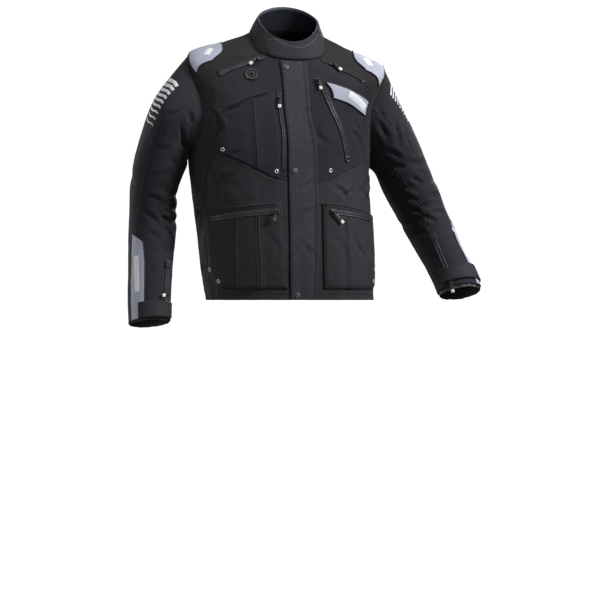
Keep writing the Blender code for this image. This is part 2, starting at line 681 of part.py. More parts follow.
def make_sleeves(materials):
    """Each sleeve in three cuts: the outside, the front and the gusset under the arm and elbow."""
    steps = np.concatenate([np.linspace(first, first + 1, rows + 1)[:-1]
                            for first, rows in enumerate(ROWS_IN_STEP)] + [[len(ROWS_IN_STEP)]])
    row, front, back = np.array(GUSSET, float).T
    front, back = np.interp(steps, row, front)[:, None], np.interp(steps, row, back)[:, None]
    row, long = np.array(LONG_SEAM, float).T
    long = np.interp(steps, row, long)[:, None]
    arcs = [np.linspace(start, end, faces + 1)[:-1] + (360 if end <= 150 else 0)
            for faces, start, end in (ARMHOLE_ARCS[arc] for arc in ("front", "top", "back", "underarm back"))]
    around = np.concatenate([*arcs, [510]])
    under = np.linspace(150, 225, ARMHOLE_ARCS["underarm"][0] + 1)
    # each cut: its columns at the armhole, its two seams down the sleeve, and its cloth
    cuts = {
        "sleeve_outer": (around[around >= LONG_SEAM[0][1]], long, back + 360, "softshell"),
        "sleeve_front": (around[around <= LONG_SEAM[0][1]], front, long, "softshell"),
        "sleeve_gusset": (under, back, front, "stretch"),
    }
    for name in SLEEVES:
        for part, (columns, start, end, cloth) in cuts.items():
            share = (columns - columns[0]) / (columns[-1] - columns[0])
            degrees = start + share * (end - start)
            grid = np.stack([degrees, steps[:, None] + 0 * degrees], -1)
            make_panel(f"{part}_{name}", on_sleeve(name), grid, materials[cloth], gap=2 * SEAM_GAP)


def make_collar(materials):
    """A stand collar open in front, its lining, and the tab that closes it over the throat."""
    half = joined(seam("neck front"), seam("neck side"), seam("neck back side"), seam("neck back"))[:, 0]
    turns = np.concatenate([half, 4 - half[-2::-1]])
    rises = np.linspace(0, 2, 4)[:, None]
    grid = np.stack(np.broadcast_arrays(turns[None], rises), -1)
    make_panel("collar", on_collar, grid, materials["ripstop"], -DOUBLE / 2, DOUBLE / 2)
    rises = np.linspace(0.3, 1.94, 4)[:, None]
    grid = np.stack(np.broadcast_arrays(turns[None, ::2], rises), -1)
    make_panel("collar_lining", on_collar, grid, materials["lining"],
               -DOUBLE / 2 - LIFT - LINING, -DOUBLE / 2 - LIFT)
    turn, lower, upper = np.array(TAB, float).T
    ends = curve(np.stack([turn, lower], -1), 14), curve(np.stack([turn, upper], -1), 14)
    share = np.linspace(0, 1, 4)[:, None, None]
    make_overlay("collar_tab", on_collar, ends[0] * (1 - share) + ends[1] * share, materials["ripstop"],
                 DOUBLE / 2 + LIFT, DOUBLE)


def make_storm_flap(materials):
    level, right, left = smooth_row(np.array(FLAP, float), np.linspace(0, len(FLAP) - 1, FLAP_ROWS + 1)).T
    share = np.linspace(0, 1, 4)
    turns = right[:, None] * (1 - share) + left[:, None] * share
    grid = np.stack([turns, level[:, None] + 0 * turns], -1)
    make_overlay("storm_flap", on_body, grid, materials["ripstop"], ON_SHELL, DOUBLE)
    for name, place in SNAPS.items():
        snap = make_ring(f"snap_{name}", SNAP_RADIUS, 0, SNAP_HEIGHT, materials["snap"])
        snap.matrix_world = frame_on(on_body, *place, ON_FLAP)


def bumps(across, pleats):
    """Box pleats: flat on top, with sloping sides."""
    raised = np.zeros(np.shape(across))
    for at, half, height in pleats:
        raised = np.maximum(raised, height * np.clip((1 - np.abs(np.abs(across) - at) / half) * 3, 0, 1))
    return raised


def pleat_shares(top, pleats, faces):
    """Where a pocket's columns go: evenly, and at each edge of its pleats."""
    start, end = top[0][0], top[-1][0]
    edges = [at + half * part for at, half, height in pleats for part in (-1, -0.6, 0.6, 1)]
    edges = np.array([(edge - start) / (end - start) for edge in edges])
    even = np.linspace(0, 1, faces + 1)
    if len(edges):
        clear = np.abs(even[:, None] - edges).min(-1) > 0.4 / faces
        clear[[0, -1]] = True
        even = even[clear]
    return np.sort(np.concatenate([even, edges]))


def pocket_grid(side, pocket, shares, rows):
    """A pocket's grid: its columns at the given shares of its top and bottom edges."""
    def line(name):
        points = curve(pocket[name], 60)
        return np.stack([np.interp(shares, np.linspace(0, 1, 61), points[:, k]) for k in (0, 1)], -1)

    top, bottom = line("top"), line("bottom")
    start = curve((bottom[0], top[0]), rows)
    end = curve(pocket.get("outer", (bottom[-1], top[-1])), rows)
    return patch(bottom, top, start, end) * (side, 1)


def make_pockets(materials):
    grid = pocket_grid(-1, CHEST_POCKET, pleat_shares(CHEST_POCKET["top"], CHEST_PLEATS, 7), 11)
    below = np.linspace(0, 1, 12)[:, None]
    raised = bumps(grid[..., 0], CHEST_PLEATS) * np.clip((1 - below) * 6, 0, 1)
    make_overlay("chest_pocket_right", on_body, grid, materials["softshell"], ON_SHELL, SHELL, raised)
    for name, side in (("right", -1), ("left", 1)):
        shares = pleat_shares(LOWER_POCKET["top"], POCKET_PLEATS[name], 9)
        grid = pocket_grid(side, LOWER_POCKET, shares, 10)
        below = np.linspace(0, 1, 11)[:, None]
        raised = bumps(grid[..., 0], POCKET_PLEATS[name]) * np.clip((0.75 - below) * 8, 0, 1)
        make_overlay(f"pocket_{name}", on_body, grid, materials["ripstop"], ON_CURVE, POCKET_DEPTH, raised)


def make_patches(materials):
    """The light patches, the cuff straps and the cable port."""
    lower, upper = curve(CHEST_PATCH["lower"], 7), curve(CHEST_PATCH["upper"], 7)
    chest = patch(lower, upper, curve((lower[0], upper[0]), 3), curve((lower[-1], upper[-1]), 3))
    make_overlay("chest_patch_left", on_body, chest, materials["light"], ON_CURVE, PATCH)
    for name, side in (("right", -1), ("left", 1)):
        lower, upper = curve(SHOULDER_PATCH["armhole"], 10), curve(SHOULDER_PATCH["neck"], 10)
        shoulder = patch(lower, upper, curve((lower[0], upper[0]), 6), curve((lower[-1], upper[-1]), 6))
        shoulder = shoulder * (side, 1)
        make_overlay(f"shoulder_patch_{name}", on_body, shoulder, materials["light"], ON_CURVE, PATCH)
        edges = FOREARM_PATCH[name]
        top, bottom = curve(edges["top"], 4), curve(edges["bottom"], 4)
        forearm = patch(top, bottom, curve(edges["inner"], 10), curve((top[-1], bottom[-1]), 10))
        make_overlay(f"forearm_patch_{name}", on_sleeve(name), forearm, materials["light"], ON_SHELL, PATCH)
        upper, lower = curve(CUFF_STRAP[name]["upper"], 9), curve(CUFF_STRAP[name]["lower"], 9)
        strap = patch(lower, upper, curve((lower[0], upper[0]), 3), curve((lower[-1], upper[-1]), 3))
        make_overlay(f"cuff_strap_{name}", on_sleeve(name), strap, materials["ripstop"],
                     ON_SLEEVE + TAPE + 2 * LIFT, DOUBLE)
    port = make_ring("cable_port", PORT_RADIUS, PORT_HOLE, PORT_HEIGHT, materials["rubber"])
    port.matrix_world = frame_on(on_body, *PORT, ON_SHELL)


def zip_surface(lies):
    """The surface a zip is sewn to, and its height above the middle of that cloth."""
    if lies.startswith("sleeve"):
        return on_sleeve(lies.split()[1]), ON_SLEEVE
    return on_body, ON_POCKET if lies == "pocket" else ON_SHELL


def make_slider(name, frame, run, material):
    """A plate along the tape, joined with an arch whose bar lies across the pull."""
    plate = bmesh.new()
    bmesh.ops.create_cube(plate, size=1)
    bmesh.ops.scale(plate, vec=[size * MM for size in PLATE], verts=plate.verts)
    bmesh.ops.translate(plate, vec=(0, 0, PLATE[2] / 2 * MM), verts=plate.verts)
    corners = [edge for edge in plate.edges if abs(edge.verts[0].co.z - edge.verts[1].co.z) > MM]
    bmesh.ops.bevel(plate, geom=corners, offset=PLATE_CORNER * MM, segments=2, profile=0.5,
                    affect="EDGES", material=-1)
    bmesh.ops.rotate(plate, verts=plate.verts, matrix=Matrix.Rotation(run, 3, "Z"))
    slider = make_object(name, plate, material)
    slider.matrix_world = frame
    arch = bmesh.new()
    outside, inside = ARCH_WIDTH / 2, ARCH_CLEAR / 2
    low, under = PLATE[2] - 0.5, PLATE[2] + ARCH_RISE
    outline = ((-outside, low), (-outside, under + ARCH_BAR), (outside, under + ARCH_BAR), (outside, low),
               (inside, low), (inside, under), (-inside, under), (-inside, low))
    face = arch.faces.new([arch.verts.new((x * MM, -ARCH_BAR / 2 * MM, z * MM)) for x, z in outline])
    new = bmesh.ops.extrude_face_region(arch, geom=[face])["geom"]
    bmesh.ops.translate(arch, verts=[v for v in new if isinstance(v, bmesh.types.BMVert)],
                        vec=(0, ARCH_BAR * MM, 0))
    tool = make_object(name + "_arch", arch, material)
    tool.matrix_world = frame
    tool.hide_render = True
    tool.display_type = "WIRE"
    joint = slider.modifiers.new("arch", "BOOLEAN")
    joint.operation = "UNION"
    joint.object = tool


def make_pull(name, frame, length, material):
    """A pull whose eye turns on the slider's bar: a ring, with one face drawn out into the grip."""
    pull = bmesh.new()
    bmesh.ops.create_circle(pull, segments=12, radius=EYE_OUTER * MM)
    bmesh.ops.create_circle(pull, segments=12, radius=EYE_INNER * MM)
    bmesh.ops.bridge_loops(pull, edges=pull.edges[:])
    new = bmesh.ops.extrude_face_region(pull, geom=pull.faces[:])["geom"]
    bmesh.ops.translate(pull, verts=[v for v in new if isinstance(v, bmesh.types.BMVert)],
                        vec=(0, 0, EYE_WIDTH * MM))
    bmesh.ops.translate(pull, verts=pull.verts, vec=(0, 0, -EYE_WIDTH / 2 * MM))
    bmesh.ops.rotate(pull, verts=pull.verts, matrix=Matrix.Rotation(math.radians(15), 3, "Z"))
    bmesh.ops.rotate(pull, verts=pull.verts, matrix=Matrix.Rotation(math.radians(90), 3, "Y"))
    bmesh.ops.recalc_face_normals(pull, faces=pull.faces)
    pull.faces.ensure_lookup_table()
    end = min(pull.faces, key=lambda face: face.calc_center_median().y)
    steps = ((NECK_LENGTH, 1, 1), (NECK_SLOPE, GRIP_WIDTH / EYE_WIDTH, GRIP_SWELL),
             (length - NECK_LENGTH - NECK_SLOPE - EYE_OUTER, 1, 1))
    for run, wider, thicker in steps:
        new = bmesh.ops.extrude_face_region(pull, geom=[end, *end.edges])["geom"]
        end = next(item for item in new if isinstance(item, bmesh.types.BMFace))
        bmesh.ops.translate(pull, verts=end.verts, vec=(0, -run * MM, 0))
        centre = end.calc_center_median()
        bmesh.ops.scale(pull, verts=end.verts, vec=(wider, 1, thicker), space=Matrix.Translation(-centre))
    piece = make_object(name, pull, material)
    plumb = math.atan2(frame[2][2], frame[2][1])  # where it hangs free, if it isn't on the cloth first
    piece.matrix_world = frame @ Matrix.Rotation(min(math.radians(PULL_TILT), plumb), 4, "X")


def make_zips(materials):
    """Each zip's tape, its slider where the photo shows it, and the pull that hangs on the slider."""
    for name, numbers in ZIPS.items():
        row = dict(zip(ZIP_COLUMNS, numbers))
        at_slider = row["slider"] * ZIP_FACES
        surface, base = zip_surface(row["lies"])
        run = curve(row["path"], ZIP_FACES)
        points, away = surface(run[:, 0], run[:, 1])
        along = unit(np.gradient(points, axis=0))
        beside = unit(np.cross(away, along)) * row["width"] / 2
        grid = np.stack([points - beside, points + beside], 1)
        lift = unit(away)[:, None]
        make_wall(f"zip_{name}", grid + lift * base, grid + lift * (base + TAPE), materials["tape"])
        place = smooth_row(run, at_slider)
        frame = frame_on(surface, *place, base + TAPE + SEAM_GAP, row["heading"])
        turned = frame.to_3x3().inverted() @ Vector(smooth_row(along, at_slider))
        make_slider(f"slider_{name}", frame, math.atan2(-turned.x, turned.y), materials["slider"])
        hinge = frame @ Matrix.Translation((0, 0, (PLATE[2] + ARCH_RISE + ARCH_BAR / 2) * MM))
        make_pull(f"pull_{name}", hinge, row["pull"], materials["pull"])


def main():
    for old in list(bpy.data.objects):
        bpy.data.objects.remove(old)
    materials = {
        "softshell": make_material("softshell", (0.030, 0.027, 0.035), 0.75),
        "ripstop": make_material("ripstop", (0.040, 0.040, 0.044), 0.7),
        "stretch": make_material("stretch", (0.028, 0.024, 0.021), 0.85),
        "lining": make_material("lining", (0.075, 0.085, 0.105), 0.9),
        "light": make_material("light_cloth", (0.47, 0.47, 0.58), 0.65),
        "tape": make_material("zip_tape", (0.055, 0.068, 0.075), 0.45),
        "rubber": make_material("rubber", (0.035, 0.035, 0.038), 0.6),
        "snap": make_material("snap_metal", (0.16, 0.16, 0.17), 0.35, 0.9),
        "slider": make_material("slider_metal", (0.05, 0.05, 0.055), 0.35, 0.8),
        "pull": make_material("pull_plastic", (0.05, 0.05, 0.055), 0.5),
    }
    make_shell(materials)
    make_sleeves(materials)
    make_collar(materials)
    make_storm_flap(materials)
    make_pockets(materials)
    make_patches(materials)
    make_zips(materials)


if __name__ == "__main__":
    main()
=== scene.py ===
"""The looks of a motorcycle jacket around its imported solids: every cut panel as a thin sheet with
its creases, seams and weave, and the zips, snaps, port, bars, bindings and stitching sewn on it.

Millimetres in the tables, metres in the scene. The jacket faces -Y, and its origin is the middle
of the neck seam. "Left" and "right" are the wearer's.

A place on the body cloth is (turn, level): turn 0 is the centre front, 1 the left side, 2 the
centre back and -1 the right side; level 0 is the hem and 9 the neck seam. A place on a sleeve is
(degree, step): degree 0 is the outside, 90 the back, 180 the inside and 270 the front, and step
runs from 0 at the armhole to 8 at the cuff.
"""

import math
from functools import partial

import bmesh
import bpy
import numpy as np
from mathutils import Matrix, Vector


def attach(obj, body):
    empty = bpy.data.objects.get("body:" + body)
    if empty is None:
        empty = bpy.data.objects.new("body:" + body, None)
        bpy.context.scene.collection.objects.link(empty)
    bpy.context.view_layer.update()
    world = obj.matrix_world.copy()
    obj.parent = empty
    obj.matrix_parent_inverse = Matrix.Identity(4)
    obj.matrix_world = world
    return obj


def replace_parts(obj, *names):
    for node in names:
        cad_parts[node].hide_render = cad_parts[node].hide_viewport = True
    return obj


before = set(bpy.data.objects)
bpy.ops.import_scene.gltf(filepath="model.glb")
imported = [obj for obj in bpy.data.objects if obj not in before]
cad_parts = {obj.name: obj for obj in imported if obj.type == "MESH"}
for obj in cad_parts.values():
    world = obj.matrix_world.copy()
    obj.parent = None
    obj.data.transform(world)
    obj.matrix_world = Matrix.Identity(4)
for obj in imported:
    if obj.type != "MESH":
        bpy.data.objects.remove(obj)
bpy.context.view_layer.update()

MM = 0.001

# --- Thickness and spacing, mm ---
SHELL, DOUBLE, PATCH, LINING = 2.0, 3.0, 1.2, 1.0
LIFT = 0.6  # under a piece that lies on another, in the solids
SEAT = 0.8  # how far such a piece's wall reaches down to the cloth under it here
ON_SHELL = SHELL / 2 + LIFT
ON_CURVE = SHELL / 2 + 2.5 * LIFT
POCKET_DEPTH = 4.0
ON_POCKET = ON_CURVE + POCKET_DEPTH + LIFT
TAPE = 1.5
TAPE_FACE, TAPE_CLOTH = 1.0, 0.8  # a zip's cloth here: its face over what it lies on, its thickness
ON_TAPE = ON_SHELL + TAPE + 2 * LIFT
# how high the outer face of what a small trim is set in is, by the first word of its name
FACE = {
    "front": SHELL / 2,
    "chest": ON_SHELL + SHELL,
    "pocket": ON_CURVE + POCKET_DEPTH,
    "storm": ON_SHELL + DOUBLE,
}
MITRE = 0.7  # keeps the mitre of a sharp seam from reaching too far
TURN_LENGTH, LEVEL_LENGTH = 300, 80  # about how long one turn and one level of cloth are
CELL, LAID_CELL, NARROW_CELL = 4.6, 3.4, 1.6  # of a panel, of what lies on one, and of a narrow strip
NEAR_SEAM = (1.2, 2.4, 3.6, 5.0, 6.0, 7.2, 9.5)  # closer rows beside a seam

# --- The worn body: one row for each level ---
BODY_COLUMNS = (
    "z_side", "z_front", "z_back", "half", "front", "back", "square", "shift", "twist", "lean",
    "brim",
)
BODY_RINGS = {
    "hem": (-671, -671, -671, 220, 132, 120, 2.5, 8, 4, 0, 0),
    "pocket": (-590, -590, -590, 226, 141, 121, 2.5, 0, 4, 0, 0),
    "waist": (-490, -490, -490, 230, 144, 118, 2.5, -8, 5, 2, 0),
    "belly": (-400, -402, -400, 235, 146, 121, 2.5, -16, 6, 6, 0),
    "chest": (-315, -322, -315, 239, 147, 127, 2.5, -22, 6, 9, 0),
    "bust": (-232, -256, -236, 240, 144, 131, 2.4, -19, 3, 11, 0),
    "blade": (-150, -196, -160, 243, 134, 130, 2.3, -14, -2, 12, 0),
    "shoulder": (-54, -138, -88, 257, 115, 119, 2.2, -3, -7, 13, 0),
    "yoke": (-14, -92, -22, 172, 96, 98, 2.1, 0, -6, 8, 0.2),
    "neck": (16, -55, 30, 97, 80, 72, 2.4, 0, -3, 2, 0.8),
}
NECK = len(BODY_RINGS) - 1
DIP = 1.6  # how a ring falls from its sides to its front and back
COLLAR_RINGS = {
    "seam": BODY_RINGS["neck"],
    "middle": (38, -26, 64, 87, 71, 66, 2.2, 1, -3, 1, 0.6),
    "top": (56, -5, 98, 79, 62, 63, 2.0, 3, -3, 0, 0.3),
}
ARMHOLE = {"top": 7.0, "bottom": 4.15, "forward": 0.30, "backward": 0.33}
ARMHOLE_MIDDLE = (ARMHOLE["top"] + ARMHOLE["bottom"]) / 2
ARMHOLE_HALF = (ARMHOLE["top"] - ARMHOLE["bottom"]) / 2
SLEEVE_COLUMNS = ("x", "y", "z", "lean", "pitch", "wide", "deep")
SLEEVES = {
    "right": {
        "cap": (307, 4, -222, 60, 0, 80, 80),
        "upper arm": (330, 8, -306, 12, -3, 66, 74),
        "above elbow": (348, 12, -378, 5, -2, 61, 68),
        "elbow": (351, 12, -440, 4, 5, 60, 64),
        "below elbow": (356, 2, -500, 5, 12, 60, 60),
        "forearm": (366, -22, -585, 3, 15, 57, 56),
        "wrist": (374, -46, -665, 1, 14, 55, 52),
        "cuff": (377, -64, -728, -3, 13, 53, 48),
    },
    "left": {
        "cap": (282, 4, -262, 62, 0, 84, 80),
        "upper arm": (325, 8, -350, 30, -3, 68, 72),
        "above elbow": (356, 12, -406, 27, -1, 66, 68),
        "elbow": (376, 6, -455, 25, 8, 62, 64),
        "below elbow": (397, -10, -505, 25, 16, 58, 60),
        "forearm": (419, -36, -562, 24, 20, 55, 56),
        "wrist": (436, -62, -612, 16, 22, 55, 52),
        "cuff": (444, -82, -646, 4, 23, 57, 48),
    },
}
STEPS = 8
SIDES = {"right": -1, "left": 1}

# --- Edges of the pieces: places along each ---
SEAMS = {
    "centre front lower": ((0, 0), (0, 3.3)),
    "centre front upper": ((0, 3.3), (0, 9)),
    "cross": ((0, 3.3), (0.2, 3.44), (0.32, 3.7), (0.43, 3.93), (0.58, 4.1)),
    "strip": ((0.58, 4.1), (0.562, 5.3), (0.60, 6.2), (0.52, 6.9)),
    "welt": ((0.52, 6.9), (0.51, 7.6), (0.49, 8.3), (0.45, 9)),
    "neck front": ((0, 9), (0.45, 9)),
    "neck side": ((0.45, 9), (1, 9)),
    "neck back side": ((1, 9), (1.45, 9)),
    "neck back": ((1.45, 9), (2, 9)),
    "shoulder": ((1, 7), (1, 9)),
    "back yoke": ((1.33, 5.575), (1.42, 6.6), (1.46, 7.7), (1.45, 9)),
    "underarm front": ((0.58, 4.1), (0.788, 4.567)),
    "side front": ((0.86, 0), (0.79, 2.46), (0.67, 3.7), (0.58, 4.1)),
    "side back": ((1.22, 0), (1.22, 3), (1.165, 4.341)),
    "hem front": ((0, 0), (0.86, 0)),
    "hem side": ((0.86, 0), (1.22, 0)),
    "hem back": ((1.22, 0), (2, 0)),
    # the right side's own
    "right strip": ((0.58, 4.1), (0.558, 5.3), (0.547, 6.2), (0.507, 6.9)),
    "right welt": ((0.507, 6.9), (0.482, 7.6), (0.468, 8.3), (0.45, 9)),
}
ARMHOLE_ARCS = {
    "front": (225, 360), "top": (0, 60), "back": (60, 90), "underarm back": (90, 150),
    "underarm": (150, 225),
}
# the gusset's two seams down the sleeve: step, degree of its front seam and of its back seam
GUSSET = (
    (0, 225, 150), (2, 243, 132), (4.1, 264, 118), (5.3, 216, 150), (6.5, 205, 160), (8, 205, 165),
)
# the sleeve's long seam, from the armhole to under the forearm patch: step, degree
LONG_SEAM = ((0, 285), (0.85, 285), (1.65, 295), (2.54, 304), (3.93, 314), (5.2, 320), (8, 320))
# the storm flap: level, and the turns of its right and left edges
FLAP = (
    (0.03, -0.125, 0.080),
    (1.42, -0.105, 0.108),
    (2.80, -0.093, 0.120),
    (4.45, -0.073, 0.130),
    (5.80, -0.060, 0.118),
    (7.05, -0.055, 0.110),
    (8.00, -0.105, 0.140),
    (8.80, -0.200, 0.200),
)
# the collar tab: turn, and how far up the collar its lower and upper edges are
TAB = (
    (-0.480, 0.75, 1.12),
    (-0.450, 0.33, 1.46),
    (-0.360, 0.12, 1.60),
    (-0.147, 0.08, 1.37),
    (0.103, 0.08, 1.09),
    (0.270, 0.08, 1.18),
    (0.520, 0.08, 1.46),
    (0.720, 0.10, 1.62),
    (0.790, 0.35, 1.45),
)
SNAPS = {"top": (-0.085, 8.34), "middle": (-0.040, 3.70), "bottom": (-0.070, 0.22)}
PORT = (-0.305, 7.47)
CHEST_POCKET = {
    "top": ((0.118, 6.85), (0.175, 6.66), (0.29, 6.28), (0.42, 5.84), (0.540, 5.45)),
    "bottom": ((0.150, 3.44), (0.2, 3.50), (0.32, 3.76), (0.43, 3.99), (0.555, 4.16)),
}
# pleats: turn, half width in turns, height in mm
CHEST_PLEATS = ((0.285, 0.035, 1.2),)
LOWER_POCKET = {
    "top": ((0.150, 2.74), (0.35, 2.66), (0.60, 2.52), (0.80, 2.40)),
    "bottom": ((0.140, 0.44), (0.35, 0.44), (0.60, 0.44), (0.715, 0.50)),
    "outer": ((0.715, 0.50), (0.805, 0.90), (0.800, 1.60), (0.80, 2.40)),
}
POCKET_PLEATS = {
    "right": ((0.328, 0.032, 2.4), (0.503, 0.032, 2.4)),
    "left": ((0.343, 0.032, 2.4),),
}
CHEST_PATCH = {
    "lower": ((0.268, 6.61), (0.385, 6.35), (0.488, 6.05), (0.575, 5.80)),
    "upper": ((0.242, 7.42), (0.323, 7.09), (0.440, 6.67), (0.592, 6.27)),
}
SHOULDER_PATCH = {
    "lower": ((0.685, 6.66), (0.79, 6.86), (0.89, 7.06), (1.0, 7.14), (1.14, 7.05), (1.25, 6.84)),
    "upper": ((0.630, 7.36), (0.725, 7.78), (0.85, 7.96), (1.0, 8.0), (1.15, 7.92), (1.27, 7.70)),
}
FOREARM_PATCH = {
    "right": {
        "top": ((302, 5.46), (313, 5.36), (324, 5.26), (336, 5.16)),
        "bottom": ((296, 7.93), (309, 7.93), (322, 7.93), (336, 7.93)),
        "inner": ((302, 5.46), (294, 6.16), (292, 7.28), (296, 7.93)),
    },
    "left": {
        "top": ((318, 4.92), (326, 4.80), (334, 4.75), (352, 5.0)),
        "bottom": ((312, 7.93), (322, 7.93), (334, 7.93), (350, 7.93)),
        "inner": ((318, 4.92), (314, 5.6), (313, 6.8), (312, 7.93)),
    },
}
CUFF_STRAP = {
    "right": {"upper": ((208, 7.26), (308, 7.30)), "lower": ((206, 7.90), (308, 7.93))},
    "left": {"upper": ((222, 6.62), (358, 6.86)), "lower": ((216, 7.52), (358, 7.60))},
}
ZIP_COLUMNS = ("lies", "width", "slider", "heading", "pull", "path")
ZIPS = {
    "vent_right": ("body", 10, 0.22, -47, 26, (
        (-0.432, 8.8), (-0.436, 8.3), (-0.448, 7.65), (-0.476, 6.96),
    )),
    "vent_left": ("body", 10, 0.30, 42, 28, (
        (0.455, 8.72), (0.473, 8.2), (0.490, 7.6), (0.515, 6.98),
    )),
    "chest_right": ("body", 10, 0.10, -6, 26, (
        (-0.079, 6.86), (-0.088, 5.38), (-0.100, 4.5), (-0.112, 3.7),
    )),
    "chest_left": ("body", 14, 0.055, 8, 29, (
        (0.200, 7.70), (0.203, 7.20), (0.226, 6.68), (0.270, 6.20), (0.311, 5.70), (0.336, 5.20),
        (0.355, 4.72), (0.371, 4.22),
    )),
    "pocket_right": ("pocket", 13, 0.93, -5, 24, ((-0.70, 2.24), (-0.45, 2.36), (-0.17, 2.48))),
    "pocket_left": ("pocket", 13, 0.05, 45, 40, ((0.20, 2.51), (0.42, 2.44), (0.62, 2.31))),
    "cuff_right": ("sleeve right", 11, 0.44, -77, 19, ((234, 6.03), (231, 7.13), (228, 7.92))),
    "cuff_left": ("sleeve left", 11, 0.95, 18, 26, ((252, 5.11), (245, 6.6), (236, 7.92))),
}
ZIP_FACES = 8  # of a zip's line in the solids
# what each eyelet is set in, and where
EYELETS = (
    ("chest_pocket_right", -0.527, 4.26), ("chest_pocket_right", -0.168, 3.66),
    ("front_upper_left", 0.228, 3.79),
    ("pocket_right", -0.785, 0.97), ("pocket_right", -0.678, 0.66),
    ("pocket_left", 0.705, 0.98), ("pocket_left", 0.650, 0.66),
)
# the bars on the upper sleeves: places of the first bar's outer and inner end, and of the last's
BARS = {
    "right": ((364, 0.62), (316, 0.51), (358, 1.36), (322, 1.42)),
    "left": ((376, 0.24), (319, 0.36), (380, 1.12), (325, 0.98)),
}
BAR_WIDTHS = {"right": (11.5, 3.3), "left": (7.0, 3.2)}  # the first bar's and the last's, mm
BAR_COUNT = 9
BAR_BOW, BAR_HOOK, HOOK_START = 0.045, 0.04, 0.75  # steps down, and where along a bar its hook starts
BAR_TAPER = 0.12
# the slits where a pocket's pleats meet, each with a near-black strip of painted shade in it: which pocket,
# and the slit's line
SLITS = (
    ("chest_pocket_right", ((-0.258, 6.34), (-0.278, 5.7), (-0.290, 5.08), (-0.296, 3.75))),
    ("pocket_right", ((-0.466, 2.32), (-0.490, 1.9), (-0.500, 1.2), (-0.528, 0.47))),
    ("pocket_right", ((-0.322, 2.34), (-0.331, 1.7), (-0.327, 1.2), (-0.345, 0.46))),
    ("pocket_left", ((0.329, 2.30), (0.335, 1.73), (0.343, 1.23), (0.341, 0.46))),
)
# welts and bands: on which, the line, width, height over what it lies on
WELTS = (
    ("front_upper_right", ((-0.462, 8.78), (-0.464, 8.3), (-0.474, 7.65), (-0.497, 7.02)), 7, 2.6),
    ("front_upper_left", ((0.484, 8.70), (0.500, 8.2), (0.515, 7.6), (0.535, 7.02)), 7, 2.6),
    ("chest_pocket_right", ((-0.555, 5.48), (-0.420, 5.94), (-0.275, 6.42), (-0.150, 6.80)), 8, 2.4),
    ("pocket_right", ((-0.735, 2.44), (-0.465, 2.56), (-0.195, 2.70)), 5, 1.5),
    ("pocket_left", ((0.165, 2.74), (0.307, 2.70), (0.580, 2.53)), 5, 1.5),
    ("pocket_right", ((-0.730, 2.16), (-0.460, 2.28), (-0.190, 2.40)), 4, 1.0),
)
# near-black strips of painted shade in the gaps where one edge lies over another
PAINTED_SHADE_GAPS = (
    ("front_upper_right", ((-0.411, 8.80), (-0.415, 8.3), (-0.427, 7.65), (-0.456, 6.98)), 2.6, 0.6),
    ("front_upper_left", ((0.434, 8.70), (0.452, 8.2), (0.469, 7.6), (0.494, 7.0)), 2.6, 0.6),
    ("chest_pocket_right", ((-0.560, 5.38), (-0.420, 5.85), (-0.275, 6.33), (-0.150, 6.71)), 2.6, 0.5),
    ("pocket_right", ((-0.738, 2.35), (-0.465, 2.48), (-0.195, 2.61)), 1.7, 0.4),
    ("pocket_left", ((0.165, 2.66), (0.307, 2.61), (0.580, 2.43)), 1.7, 0.4),
)
PIPING = {
    "right": ((322, 1.46), (331, 1.72), (340, 2.05), (344, 2.87)),
    "left": ((338, 1.06), (346, 1.34), (352, 1.70), (356, 2.50)),
}
# plain light blocks on the patches: on which, its two ends, and its width in mm
BLOCKS = (
    ("chest_patch_left", (0.375, 6.68), (0.560, 6.08), 19),
    ("shoulder_patch_right", (-0.735, 7.40), (-0.850, 7.66), 17),
    ("shoulder_patch_left", (0.735, 7.40), (0.850, 7.66), 17),
    ("forearm_patch_right", (318, 5.85), (312, 6.95), 13),
    ("forearm_patch_left", (330, 5.25), (327, 6.45), 11),
)
# a strap's light tip, and the dark band inside each cuff
STRAP_TIP, STRAP_TIP_WIDTH = ((338, 6.86), (339, 7.56)), 24
CUFF_FACING = {"step": 7.7, "width": 34, "in": 3.2, "ruffle": 1.3}
PLATE_HEIGHT, ARCH_RISE, ARCH_BAR = 2.4, 2.3, 1.7  # a slider's plate, its arch and the arch's bar
PULL_TILT = 9  # degrees: the most that a pull stands off its tape
TIP_WIDTH, TIP_LENGTH, TIP_HEIGHT, TIP_ROUND, TIP_PAST = 8.2, 9.0, 4.6, 1.1, 0.6  # of a pull

# --- Main folds, as in the solids ---
# turn, level, reach in turns, half width in levels, slant in levels for each turn, depth in mm
BODY_FOLDS = (
    (0.66, 3.55, 0.30, 0.16, 2.2, -3.5),
    (0.70, 3.05, 0.26, 0.14, 1.6, -2.5),
    (0.99, 1.95, 0.20, 0.22, -0.9, -4.0),
    (-0.66, 3.60, 0.30, 0.16, -2.2, -3.5),
    (-0.72, 3.00, 0.28, 0.14, -1.4, -2.5),
    (-0.99, 1.85, 0.20, 0.22, 0.8, -4.0),
    (1.50, 3.30, 0.42, 0.17, 1.2, -4.5),
    (2.45, 3.10, 0.46, 0.17, -1.3, -4.5),
    (1.75, 2.10, 0.55, 0.16, 0.5, -4.0),
    (2.20, 1.20, 0.50, 0.15, -0.4, -3.0),
)
